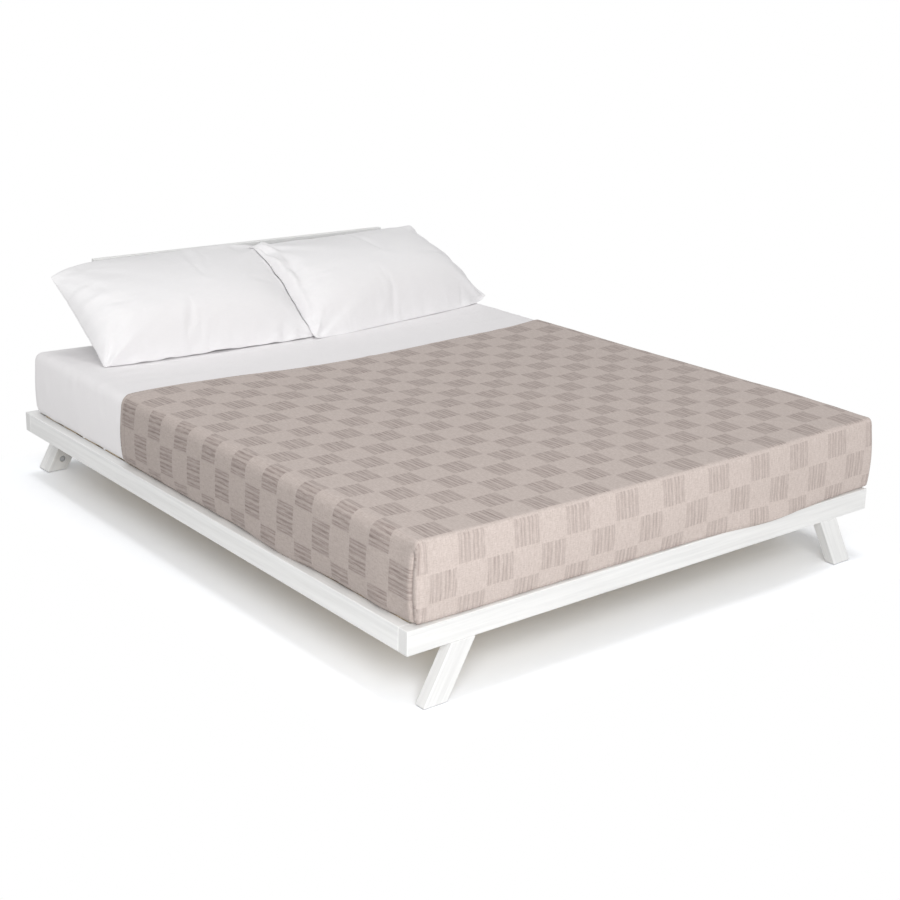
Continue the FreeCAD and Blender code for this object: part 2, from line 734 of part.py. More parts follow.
BEDDING_FOOT = f"({FOOT_FACE} + mattress_foot_setback)"
BEDDING_HEAD = f"({HEAD_FACE} - headboard_thickness - mattress_head_gap)"
BEDDING_MIDDLE = f"(({BEDDING_FOOT} + {BEDDING_HEAD}) / 2)"
BEDDING_HALF_LENGTH = f"(({BEDDING_HEAD} - {BEDDING_FOOT}) / 2)"
BEDDING_HALF_WIDTH = "(frame_width / 2 - mattress_side_setback)"
bedding_top = size(f"{BEDDING_SEAT} + mattress_height")


def arc(start, through, end):
    """Edge along a circular arc."""
    return Part.Arc(start, through, end).toShape()


def line(start, end):
    """Straight edge."""
    return Part.LineSegment(start, end).toShape()


def upright_outline(half, grow, at):
    """Section of the bedding: tucked under, upright sides, rounded shoulders and a low crown."""
    edge, low, top = half + grow, size(BEDDING_SEAT) - grow, bedding_top + grow
    tuck, shoulder = size("tuck_radius") + grow, size("shoulder_radius") + grow
    bend, turn = tuck * ARC_MIDDLE_SHARE, shoulder * ARC_MIDDLE_SHARE
    edges = [arc(at(shoulder - edge, top), at(0, top + size("mattress_crown")), at(edge - shoulder, top))]
    for side in (RIGHT, LEFT):
        outer = side * edge
        upper, lower = at(outer, top - shoulder), at(outer, low + tuck)
        edges += [
            arc(at(outer - side * shoulder, top), at(outer - side * turn, top - turn), upper),
            line(upper, lower),
            arc(lower, at(outer - side * bend, low + bend), at(outer - side * tuck, low)),
        ]
    edges.append(line(at(tuck - edge, low), at(edge - tuck, low)))
    return Part.Face(Part.Wire(Part.__sortEdges__(edges)))


def plan_outline(grow):
    """Rounded plan of the bedding at the height that it lies on."""
    wide, long = size(BEDDING_HALF_WIDTH) + grow, size(BEDDING_HALF_LENGTH) + grow
    corner = Vector(size("mattress_shift") - wide, size(BEDDING_MIDDLE) - long, size(BEDDING_SEAT))
    height = size("mattress_height + mattress_crown + cut_overrun") + grow
    prism = Part.makeBox(2 * wide, 2 * long, height, corner)
    boxes = [(edge, edge.BoundBox) for edge in prism.Edges]
    upright = [edge for edge, box in boxes if box.ZLength > box.XLength + box.YLength]
    return prism.makeFillet(size("corner_radius") + grow, upright)


def bedding_block(grow):
    """Solid of the mattress, grown outwards for a layer that lies over it."""
    shift, middle = size("mattress_shift"), size(BEDDING_MIDDLE)
    half_width, half_length = size(BEDDING_HALF_WIDTH), size(BEDDING_HALF_LENGTH)
    reach, spread = half_length + grow + size("cut_overrun"), half_width + grow + size("cut_overrun")
    across = upright_outline(half_width, grow, lambda step, up: Vector(shift + step, middle - reach, up))
    along = upright_outline(half_length, grow, lambda step, up: Vector(shift - spread, middle + step, up))
    lengthwise = across.extrude(Vector(0, 2 * reach, 0))
    crosswise = along.extrude(Vector(2 * spread, 0, 0))
    return lengthwise.common(crosswise).common(plan_outline(grow))


sheet_inside = size("layer_gap")
sheet_outside = size("layer_gap + sheet_thickness")
spread_inside = sheet_outside + size("layer_gap")
spread_outside = spread_inside + size("bedspread_thickness")


def corner_fold(side):
    """Upright fold of the bedspread's drop, laid flat on the foot beside a corner."""
    wide = size(BEDDING_HALF_WIDTH) - size("corner_radius")
    face = size(BEDDING_FOOT) - spread_outside
    low, high = size(BEDDING_SEAT), bedding_top - size("shoulder_radius")
    outer = size("mattress_shift") + side * wide
    inner = outer - side * size("corner_fold_width")
    crest = Vector(outer, face - size("corner_fold_depth"), low)
    points = [Vector(outer, face, low), crest, Vector(inner, face, low)]
    return Part.Face(Part.makePolygon(points + points[:1])).extrude(UP * (high - low))


def bedspread_shape():
    """Cover over the foot end and both sides, up to its turned edge below the pillows."""
    reach = size("frame_width")
    foot = size(f"{BEDDING_FOOT} - cut_overrun") - spread_outside
    edge = size(f"{FOOT_FACE} + bedspread_length")
    half_space = Part.makeBox(2 * reach, edge - foot, size("headboard_top"), Vector(-reach, foot, 0))
    cover = bedding_block(spread_outside).common(half_space).cut(bedding_block(spread_inside))
    return cover.fuse([corner_fold(LEFT), corner_fold(RIGHT)]).removeSplitter()


mattress = shaped("mattress", bedding_block(0))
fitted_sheet = shaped("fitted_sheet", bedding_block(sheet_outside).cut(bedding_block(sheet_inside)))
bedspread = shaped("bedspread", bedspread_shape())

# Pillows in their cases, leaning on the headboard


def pillow_section(height, middle, half_width, front, back):
    """Closed section across a pillow: flatter in the middle, thin at its two side seams."""
    outline = []
    for depth, shares in ((-front, pillow_section_shares), (back, pillow_section_shares[::-1])):
        points = [Vector(middle + across * half_width, share * depth, height) for across, share in shares]
        outline += [arc(*points[first : first + 3]) for first in (0, 2, 4)]
    return Part.Wire(outline)


def pillow_shape(grow, top_shift_share, top_width_share):
    """Crowned pillow, standing on its lower edge, with sides that draw in between its corners."""
    height, width = size("pillow_height") + 2 * grow, size("pillow_width")
    sections = []
    for height_share, width_share, full_share in pillow_loft_shares:
        middle = width * top_shift_share * height_share
        narrowing = 1 - (1 - top_width_share) * height_share
        half_width = width / 2 * width_share * narrowing + grow
        front = size("pillow_front_depth") * full_share + grow
        back = size("pillow_back_depth") * full_share + grow
        sections.append(pillow_section(height * height_share - grow, middle, half_width, front, back))
    return Part.makeLoft(sections, True)


def crown_rise(offset, half_span):
    """Height of the mattress's crown above its shoulders, at a distance from its middle."""
    crown = size("mattress_crown")
    radius = (half_span**2 + crown**2) / (2 * crown)
    return math.sqrt(radius**2 - offset**2) - (radius - crown)


lean_back = Rotation(Vector(1, 0, 0), size("pillow_lean_angle - 90"))
crown_span = size(f"{BEDDING_HALF_LENGTH} - shoulder_radius")


def pillow_place(case, across):
    """Place where a leaning case touches the headboard behind and the sheet below."""
    points = [lean_back.multVec(point) for point in case.tessellate(size("layer_gap"))[0]]
    lowest = min(points, key=lambda point: point.z)
    along = size(f"{HEAD_FACE} - headboard_thickness - layer_gap") - max(point.y for point in points)
    crown = crown_rise(along + lowest.y - size(BEDDING_MIDDLE), crown_span)
    upward = bedding_top + sheet_outside + crown + size("layer_gap") - lowest.z
    return Placement(Vector(across, along, upward), lean_back)


pillows = []
for side, side_name in ((LEFT, "left"), (RIGHT, "right")):
    case_outside = pillow_shape(0, *pillow_top_shares[side_name])
    case_inside = pillow_shape(-size("pillowcase_thickness"), *pillow_top_shares[side_name])
    filling = pillow_shape(-size("pillowcase_thickness + layer_gap"), *pillow_top_shares[side_name])
    pillow_across = size("pillow_shift") + side * size("(pillow_width + pillow_gap) / 2")
    place = pillow_place(case_outside, pillow_across)
    for kind, shape in (("pillow", filling), ("pillowcase", case_outside.cut(case_inside))):
        pillow = shaped(f"{kind}_{side_name}", shape)
        pillow.Placement = place
        pillows.append(pillow)

NODES = [
    foot_rail,
    head_rail,
    side_rail_left,
    side_rail_right,
    leg_foot_left,
    leg_foot_right,
    leg_head_left,
    leg_head_right,
    headboard_post_left,
    headboard_post_right,
    *headboard_planks,
    slat_ledger_left,
    slat_ledger_right,
    centre_beam,
    centre_leg,
    *slats,
    corner_bracket_foot_left,
    corner_bracket_foot_right,
    corner_bracket_head_left,
    corner_bracket_head_right,
    leg_plate_left,
    leg_plate_right,
    beam_hanger_foot,
    beam_hanger_head,
    rail_dowels,
    leg_dowels,
    bracket_screws,
    plate_screws,
    hanger_screws,
    slat_screws,
    ledger_screws,
    headboard_screws,
    post_bolts,
    post_washers,
    post_nuts,
    centre_leg_screw,
    felt_pads,
    mattress,
    fitted_sheet,
    bedspread,
    *pillows,
]

document.recompute()
failed = [thing.Label for thing in document.Objects if {"Invalid", "Error"} & set(thing.State)]
faulty = [node.Label for node in NODES if node.Shape.isNull() or not node.Shape.isValid()]
if failed or faulty:
    raise RuntimeError(f"failed objects: {failed}, faulty shapes: {faulty}")

os.makedirs("parts", exist_ok=True)
for node in NODES:
    node.Shape.exportStep(f"parts/{node.Label}.step")
    print(node.Label, len(node.Shape.Solids), round(node.Shape.Volume))
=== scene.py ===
"""Looks of a low double bed: a white softwood frame, its slatted base, and the bedding that lies on it.

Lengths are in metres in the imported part's frame: +X to the right seen from the foot, +Y towards the
headboard and +Z up from the floor.
"""

import itertools
import logging
import math
from collections.abc import Sequence
from dataclasses import dataclass, field
from enum import Enum

import bmesh
import bpy
import numpy as np
from mathutils import Euler, Matrix, Vector
from mathutils.bvhtree import BVHTree


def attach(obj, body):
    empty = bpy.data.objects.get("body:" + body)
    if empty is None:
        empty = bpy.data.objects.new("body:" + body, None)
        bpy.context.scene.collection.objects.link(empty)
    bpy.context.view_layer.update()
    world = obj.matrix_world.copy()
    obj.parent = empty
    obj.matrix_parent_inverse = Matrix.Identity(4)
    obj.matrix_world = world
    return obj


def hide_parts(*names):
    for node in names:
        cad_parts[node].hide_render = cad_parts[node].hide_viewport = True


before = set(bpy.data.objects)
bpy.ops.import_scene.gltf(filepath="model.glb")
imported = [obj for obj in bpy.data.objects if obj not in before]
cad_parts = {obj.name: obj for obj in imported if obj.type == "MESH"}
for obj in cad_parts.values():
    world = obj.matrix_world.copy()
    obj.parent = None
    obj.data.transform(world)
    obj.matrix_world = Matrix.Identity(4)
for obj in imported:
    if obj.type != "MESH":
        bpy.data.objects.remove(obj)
log = logging.getLogger("double_bed")

# Distance within which points count as touching
TOUCH = 1e-5

Tone = tuple[float, float, float]
Triple = tuple[float, float, float]
Colour = tuple[float, float, float, float]
Piece = bpy.types.Object
Socket = bpy.types.NodeSocket
Material = bpy.types.Material
Feed = Socket | float | Sequence[float]


def linear(tone: Tone) -> Colour:
    """Turn a screen colour into the light values that a shader takes.

    Args:
        tone: Red, green and blue from 0 to 255.

    Returns:
        The colour in linear light, with an opaque alpha.
    """
    parts = [part / 255 for part in tone]
    light = [part / 12.92 if part <= 0.04045 else ((part + 0.055) / 1.055) ** 2.4 for part in parts]
    return (light[0], light[1], light[2], 1.0)


def grey(level: float) -> Colour:
    """Plain grey for a ramp that carries a number."""
    return (level, level, level, 1.0)


def eased(ramp: np.ndarray) -> np.ndarray:
    """Smooth step from 0 to 1 of a ramp that may run past both ends."""
    short = np.clip(ramp, 0, 1)
    return short * short * (3 - 2 * short)


def hump(places: np.ndarray, middle: float, half: float) -> np.ndarray:
    """Smooth rise to 1 and back about a middle."""
    return np.exp(-(((places - middle) / half) ** 2))


def spread_out(sheet: np.ndarray, passes: int) -> np.ndarray:
    """Even out a grid of numbers with their neighbours, a number of times."""
    for _ in range(passes):
        wide = np.pad(sheet, 1, mode="reflect", reflect_type="odd")
        sheet = (wide[:-2, 1:-1] + wide[2:, 1:-1] + wide[1:-1, :-2] + wide[1:-1, 2:] + 4 * sheet) / 8
    return sheet


class Lumps:
    """Smooth seeded unevenness, the same on every run."""

    def __init__(self, seed: int, cells: int = 32) -> None:
        """Draw the lattice of heights.

        Args:
            seed: Which unevenness to draw.
            cells: Lattice cells before it repeats.
        """
        self.cells = cells
        self.heights = np.random.default_rng(seed).uniform(-1, 1, (cells, cells, cells))

    def at(self, points: np.ndarray, lengths: Triple) -> np.ndarray:
        """Height of the unevenness at each point.

        Args:
            points: Places, one row each.
            lengths: Size of a lump along X, Y and Z.

        Returns:
            One number from about -1 to 1 for each point.
        """
        spot = points / np.array(lengths)
        base = np.floor(spot).astype(int)
        part = spot - base
        part = part * part * (3 - 2 * part)
        total = np.zeros(len(points))
        for corner in np.ndindex(2, 2, 2):
            weight = np.prod(np.where(np.array(corner) == 1, part, 1 - part), axis=1)
            index = (base + np.array(corner)) % self.cells
            total += weight * self.heights[index[:, 0], index[:, 1], index[:, 2]]
        return total


class Source(Enum):
    """Where a pattern takes its place from."""

    PLACE = "Object"
    CLOTH = "UV"
    FACING = "Normal"


class NodeBench:
    """Node tree of one material, with short calls that add nodes and join them."""

    def __init__(self, name: str) -> None:
        """Start a material with its shader."""
        self.material = bpy.data.materials.new(name)
        self.material.use_nodes = True
        self.tree = self.material.node_tree
        self.shader = self.tree.nodes["Principled BSDF"]

    def feed(self, socket: Socket, value: Feed) -> None:
        """Give a socket a link, a number or a colour."""
        if isinstance(value, Socket):
            self.tree.links.new(value, socket)
        else:
            socket.default_value = value

    def surface(self, **feeds: Feed) -> Material:
        """Feed the shader's sockets, named with _ for a space, and hand over the material."""
        for name, value in feeds.items():
            self.feed(self.shader.inputs[name.replace("_", " ")], value)
        return self.material

    def spot(self, source: Source, turn: Triple = (0, 0, 0), lengths: Triple = (1, 1, 1)) -> Socket:
        """Place on the piece, turned to a direction and counted in lengths.

        Args:
            source: Object space or the cloth's own map.
            turn: Degrees about X, Y and Z that the pattern is turned by.
            lengths: Size of the pattern along its own axes.

        Returns:
            The vector to give to a texture.
        """
        coordinate = self.tree.nodes.new("ShaderNodeTexCoord")
        mapping = self.tree.nodes.new("ShaderNodeMapping")
        mapping.vector_type = "TEXTURE"
        mapping.inputs["Rotation"].default_value = [math.radians(angle) for angle in turn]
        mapping.inputs["Scale"].default_value = lengths
        self.feed(mapping.inputs["Vector"], coordinate.outputs[source.value])
        return mapping.outputs["Vector"]

    def end_grain(self, turn: Triple) -> Socket:
        """1 where a board is cut across its grain, 0 on its sides.

        Args:
            turn: Degrees that the grain is turned by from X.

        Returns:
            The number, with a soft step between the two.
        """
        coordinate = self.tree.nodes.new("ShaderNodeTexCoord")
        along = self.tree.nodes.new("ShaderNodeVectorMath")
        along.operation = "DOT_PRODUCT"
        self.feed(along.inputs[0], coordinate.outputs[Source.FACING.value])
        grain = Euler([math.radians(angle) for angle in turn]).to_matrix() @ Vector((1, 0, 0))
        along.inputs[1].default_value = grain
        return self.level(self.sum("ABSOLUTE", along.outputs["Value"]), (0.8, 0), (0.95, 1))

    def split(self, vector: Socket) -> tuple[Socket, Socket]:
        """First two parts of a vector."""
        node = self.tree.nodes.new("ShaderNodeSeparateXYZ")
        self.feed(node.inputs[0], vector)
        return node.outputs[0], node.outputs[1]

    def sum(self, operation: str, *feeds: Feed) -> Socket:
        """Number worked out by a Math node."""
        node = self.tree.nodes.new("ShaderNodeMath")
        node.operation = operation
        for socket, value in zip(node.inputs, feeds):
            self.feed(socket, value)
        return node.outputs[0]

    def noise(self, vector: Socket, scale: float, detail: float = 3, rough: float = 0.5) -> Socket:
        """Cloudy number from 0 to 1."""
        node = self.tree.nodes.new("ShaderNodeTexNoise")
        self.feed(node.inputs["Vector"], vector)
        node.inputs["Scale"].default_value = scale
        node.inputs["Detail"].default_value = detail
        node.inputs["Roughness"].default_value = rough
        return node.outputs["Fac"]

    def threads(self, pitch: float) -> Socket:
        """Height of a plain weave, from 0 to 1, on the cloth's own map."""
        place = self.split(self.spot(Source.CLOTH, lengths=(pitch, pitch, 1)))
        waves = [self.sum("SINE", self.sum("MULTIPLY", part, math.pi)) for part in place]
        crossing = self.sum("MULTIPLY", *waves)
        return self.sum("MULTIPLY_ADD", crossing, 0.5, 0.5)

    def cells(self, vector: Socket, scale: float) -> Socket:
        """Distance to the nearest of scattered points."""
        node = self.tree.nodes.new("ShaderNodeTexVoronoi")
        self.feed(node.inputs["Vector"], vector)
        node.inputs["Scale"].default_value = scale
        return node.outputs["Distance"]

    def bands(self, vector: Socket, scale: float, distortion: float) -> Socket:
        """Wandering bands across the second axis, like growth rings cut by a saw."""
        node = self.tree.nodes.new("ShaderNodeTexWave")
        node.bands_direction = "Y"
        self.feed(node.inputs["Vector"], vector)
        node.inputs["Scale"].default_value = scale
        node.inputs["Distortion"].default_value = distortion
        node.inputs["Detail"].default_value = 3
        return node.outputs["Fac"]

    def ramp(self, factor: Socket, stops: Sequence[tuple[float, Sequence[float]]]) -> Socket:
        """Colour along a ramp.

        Args:
            factor: Where on the ramp.
            stops: Place and colour of each stop, in order.

        Returns:
            The colour.
        """
        node = self.tree.nodes.new("ShaderNodeValToRGB")
        elements = node.color_ramp.elements
        while len(elements) < len(stops):
            elements.new(1.0)
        for element, (place, colour) in zip(elements, stops):
            element.position = place
            element.color = colour
        self.feed(node.inputs[0], factor)
        return node.outputs["Color"]

    def level(self, factor: Socket, *stops: tuple[float, float]) -> Socket:
        """Number along a ramp, from the place and the height of each stop."""
        return self.ramp(factor, [(place, grey(height)) for place, height in stops])

    def blend(self, factor: Feed, first: Feed, second: Feed, mode: str = "MIX") -> Socket:
        """Two colours mixed by a factor."""
        node = self.tree.nodes.new("ShaderNodeMix")
        node.data_type = "RGBA"
        node.blend_type = mode
        for index, value in ((0, factor), (6, first), (7, second)):
            self.feed(node.inputs[index], value)
        return node.outputs[2]

    def bump(self, height: Socket, strength: float, depth: float, under: Socket | None = None) -> Socket:
        """Normal tilted by a height.

        Args:
            height: The height, from 0 to 1.
            strength: Share of the bump that shows.
            depth: What a height of 1 stands for.
            under: A bump that this one lies on.

        Returns:
            The normal to give to the shader.
        """
        node = self.tree.nodes.new("ShaderNodeBump")
        node.inputs["Strength"].default_value = strength
        node.inputs["Distance"].default_value = depth
        self.feed(node.inputs["Height"], height)
        if under is not None:
            self.feed(node.inputs["Normal"], under)
        return node.outputs["Normal"]


class Grain(Enum):
    """Which way a board's grain runs, as the turn of its pattern."""

    ACROSS = (0, 0, 0)
    ALONG = (0, 0, 90)
    LEAN_LEFT = (0, -61, 0)
    LEAN_RIGHT = (0, -119, 0)
    UPRIGHT = (0, -90, 0)


@dataclass(frozen=True)
class PaintedTimber:
    """White paint on planed softwood, thin enough for the grain to telegraph."""

    grain: Grain
    paint: Tone = (242, 242, 241)
    thin: Tone = (229, 229, 228)
    knot: Tone = (208, 203, 196)
    end: Tone = (226, 226, 225)
    streak: Triple = (0.55, 0.02, 0.02)
    pore: Triple = (0.05, 0.0016, 0.0016)
    knot_room: Triple = (0.5, 0.14, 0.14)

    def material(self) -> Material:
        """Make the paint, streaked and bumped along the grain."""
        bench = NodeBench(f"white_paint_{self.grain.name.lower()}")
        turn = self.grain.value
        streaks = bench.noise(bench.spot(Source.PLACE, turn, self.streak), 1.6, 5, 0.6)
        pores = bench.noise(bench.spot(Source.PLACE, turn, self.pore), 1.0, 2)
        clouds = bench.noise(bench.spot(Source.PLACE), 7, 2)
        worn = bench.level(streaks, (0.40, 0), (0.70, 0.9))
        colour = bench.blend(worn, linear(self.paint), linear(self.thin))
        distance = bench.cells(bench.spot(Source.PLACE, turn, self.knot_room), 1.3)
        colour = bench.blend(bench.level(distance, (0.03, 0.5), (0.075, 0)), colour, linear(self.knot))
        colour = bench.blend(bench.end_grain(turn), colour, linear(self.end))
        return bench.surface(
            Base_Color=colour,
            Roughness=bench.level(clouds, (0.3, 0.44), (0.7, 0.56)),
            Normal=bench.bump(streaks, 0.25, 0.0006, bench.bump(pores, 0.18, 0.0004)),
            Specular_IOR_Level=0.4,
        )


@dataclass(frozen=True)
class BareTimber:
    """Unpainted pale softwood with growth rings and small knots."""

    grain: Grain
    early: Tone = (234, 219, 192)
    late: Tone = (214, 192, 156)
    knot: Tone = (160, 120, 86)
    ring: Triple = (0.9, 0.05, 0.05)
    fibre: Triple = (0.06, 0.0018, 0.0018)
    knot_room: Triple = (0.45, 0.12, 0.12)

    def material(self) -> Material:
        """Make the wood from bands along the grain."""
        bench = NodeBench(f"bare_softwood_{self.grain.name.lower()}")
        turn = self.grain.value
        rings = bench.bands(bench.spot(Source.PLACE, turn, self.ring), 1.4, 5)
        fibres = bench.noise(bench.spot(Source.PLACE, turn, self.fibre), 1, 3)
        colour = bench.blend(bench.level(rings, (0.25, 0), (0.9, 1)), linear(self.early), linear(self.late))
        colour = bench.blend(bench.level(fibres, (0.35, 0.25), (0.65, 0)), colour, linear(self.late))
        distance = bench.cells(bench.spot(Source.PLACE, turn, self.knot_room), 1.2)
        colour = bench.blend(bench.level(distance, (0.04, 0.85), (0.1, 0)), colour, linear(self.knot))
        return bench.surface(Base_Color=colour, Roughness=0.62, Normal=bench.bump(fibres, 0.3, 0.0004))


@dataclass(frozen=True)
class ZincSteel:
    """Bright zinc plate on pressed steel and fasteners."""

    bright: Tone = (226, 228, 230)
    dull: Tone = (200, 203, 207)
    scratch: Triple = (0.02, 0.0008, 0.0008)

    def material(self) -> Material:
        """Make the metal with a faint spangle and drawn scratches."""
        bench = NodeBench("zinc_plate")
        spangle = bench.cells(bench.spot(Source.PLACE), 160)
        scratches = bench.noise(bench.spot(Source.PLACE, lengths=self.scratch), 1, 3)
        return bench.surface(
            Base_Color=bench.blend(spangle, linear(self.bright), linear(self.dull)),
            Metallic=1.0,
            Roughness=bench.level(scratches, (0.3, 0.28), (0.7, 0.45)),
            Normal=bench.bump(scratches, 0.1, 0.0002),
        )


@dataclass(frozen=True)
class GreyFelt:
    """Pressed wool pads under the boards that stand on the floor."""

    light: Tone = (226, 226, 227)
    dark: Tone = (188, 188, 190)
    fibre: Triple = (0.006, 0.0012, 0.0012)
    fibre_turn: Triple = (20, 35, 50)

    def material(self) -> Material:
        """Make the felt from tangled fibres."""
        bench = NodeBench("grey_felt")
        fibres = bench.noise(bench.spot(Source.PLACE, self.fibre_turn, self.fibre), 1, 5, 0.7)
        return bench.surface(
            Base_Color=bench.ramp(fibres, ((0.3, linear(self.dark)), (0.7, linear(self.light)))),
            Roughness=0.95,
            Normal=bench.bump(fibres, 0.8, 0.001),
        )


@dataclass(frozen=True)
class Cotton:
    """Plain-woven cotton, washed soft."""

    name: str
    tone: Tone
    shade: Tone
    thread: float
    crease: float
    slub: Triple = (0.02, 0.0016, 1)
    fold: Triple = (0.11, 0.035, 1)
    fold_turn: Triple = (0, 0, 24)

    def material(self) -> Material:
        """Make the cloth from its threads, its slubs and the soft creases of washing."""
        bench = NodeBench(self.name)
        slubs = bench.noise(bench.spot(Source.CLOTH, lengths=self.slub), 1, 3)
        creases = bench.noise(bench.spot(Source.CLOTH, self.fold_turn, self.fold), 1, 3, 0.45)
        shaded = bench.level(slubs, (0.3, 0.35), (0.7, 0))
        relief = bench.bump(bench.threads(self.thread), 0.2, 0.0003)
        return bench.surface(
            Base_Color=bench.blend(shaded, linear(self.tone), linear(self.shade)),
            Roughness=0.85,
            Normal=bench.bump(creases, self.crease, 0.004, relief),
            Sheen_Weight=0.12,
            Specular_IOR_Level=0.25,
        )


@dataclass(frozen=True)
class CheckWeave:
    """Woven check of the bedspread: plain blocks and blocks of warp stripes, set like a chessboard.

    The stripe profile is the depth of colour from the middle of a striped block to its edge: a pale
    middle and dark lines that differ in width. Light and shade are painted by facing: the tone is raised
    on cloth that faces the foot or head, lowered on cloth that faces the sides, and the stripes are
    fainter on the end faces.
    """

    block_across: float = 0.0806
    block_along: float = 0.0754
    start_across: float = -0.670
    start_along: float = -0.937
    hem_along: float = 0.328
    plain: Tone = (206, 194, 188)
    stripe: Tone = (150, 136, 131)
    fleck: Tone = (186, 173, 166)
    # Painted light and shade by facing: tone raised on end faces, lowered on side faces, stripes fainter on
    # end faces
    end_painted_light: float = 0.13
    side_painted_shade: float = -0.21
    end_painted_fade: float = -0.35
    thread: float = 0.0016
    line: Triple = (0.0030, 0.045, 1)
    warp: Triple = (0.0026, 0.022, 1)
    weft: Triple = (0.010, 0.0026, 1)
    stitch_zoom: float = 100.0
    stitch_depth: float = 0.35
    stripe_profile: tuple[tuple[float, float], ...] = (
        (0.0, 0.15), (0.07, 0.2), (0.10, 0.75), (0.17, 0.95), (0.24, 0.75), (0.28, 0.35), (0.35, 0.5),
        (0.40, 1.0), (0.47, 1.0), (0.52, 0.5), (0.57, 0.2), (0.63, 0.25), (0.68, 0.8), (0.75, 0.75),
        (0.79, 0.3), (0.85, 0.9), (0.90, 0.6), (0.94, 0.1), (1.0, 0.04),
    )

    def striped(self, bench: NodeBench, column: Socket, row: Socket) -> Socket:
        """How dark the warp shows: stripes on every other block, broken up thread by thread.

        Args:
            bench: The material's nodes.
            column: Place across, counted in blocks.
            row: Place along, counted in blocks.

        Returns:
            A depth from 0 to 1.
        """
        count = bench.sum("ADD", bench.sum("FLOOR", column), bench.sum("FLOOR", row))
        chosen = bench.sum("SUBTRACT", 1.0, bench.sum("FLOORED_MODULO", count, 2.0))
        fold, end = (
            bench.sum("ABSOLUTE", bench.sum("MULTIPLY_ADD", bench.sum("FRACT", part), 2.0, -1.0))
            for part in (column, row)
        )
        inside = bench.level(end, (0.9, 1), (0.95, 0))
        lines = bench.noise(bench.spot(Source.CLOTH, lengths=self.line), 1, 3, 0.65)
        broken = bench.level(lines, (0.36, 0.25), (0.60, 1))
        depth = bench.sum("MULTIPLY", bench.level(fold, *self.stripe_profile), broken)
        return bench.sum("MULTIPLY", bench.sum("MULTIPLY", chosen, inside), depth)

    def material(self) -> Material:
        """Make the weave on the cloth's own map, in metres."""
        bench = NodeBench("check_weave")
        across, along = bench.split(bench.spot(Source.CLOTH))
        column = bench.sum("DIVIDE", bench.sum("SUBTRACT", across, self.start_across), self.block_across)
        row = bench.sum("DIVIDE", bench.sum("SUBTRACT", along, self.start_along), self.block_along)
        facing = bench.split(bench.spot(Source.FACING))
        sideways, endways = (bench.sum("POWER", part, 2.0) for part in facing)
        # Painted light: the stripes are made fainter on cloth that faces the foot or head, so those faces
        # read lighter
        fade = bench.sum("MULTIPLY_ADD", endways, self.end_painted_fade, 1.0)
        striped = bench.sum("MULTIPLY", self.striped(bench, column, row), fade)
        warp, weft = (
            bench.noise(bench.spot(Source.CLOTH, lengths=lengths), 1, 3, 0.7)
            for lengths in (self.warp, self.weft)
        )
        melange = bench.sum("MULTIPLY", bench.sum("ADD", warp, weft), 0.5)
        flecks = bench.level(melange, (0.38, 1), (0.6, 0))
        colour = bench.blend(flecks, linear(self.plain), linear(self.fleck))
        colour = bench.blend(striped, colour, linear(self.stripe))
        away = bench.sum("ABSOLUTE", bench.sum("SUBTRACT", along, self.hem_along))
        stitch = bench.level(bench.sum("MULTIPLY", away, self.stitch_zoom), (0.08, 1), (0.22, 0))
        colour = bench.blend(bench.sum("MULTIPLY", stitch, self.stitch_depth), colour, linear(self.stripe))
        # Painted light and shade: the colour is multiplied up on cloth that faces the foot or head and down
        # on cloth that faces the sides
        painted_facing_light = bench.sum("MULTIPLY_ADD", endways, self.end_painted_light, 1.0)
        painted_facing_light = bench.sum("MULTIPLY_ADD", sideways, self.side_painted_shade, painted_facing_light)
        relief = bench.bump(bench.threads(self.thread), 0.35, 0.0005)
        relief = bench.bump(melange, 0.3, 0.001, relief)
        return bench.surface(
            Base_Color=bench.blend(1.0, colour, painted_facing_light, "MULTIPLY"),
            Roughness=0.92,
            Normal=bench.bump(bench.sum("SUBTRACT", striped, stitch), 0.3, 0.0008, relief),
            Sheen_Weight=0.08,
            Specular_IOR_Level=0.2,
        )


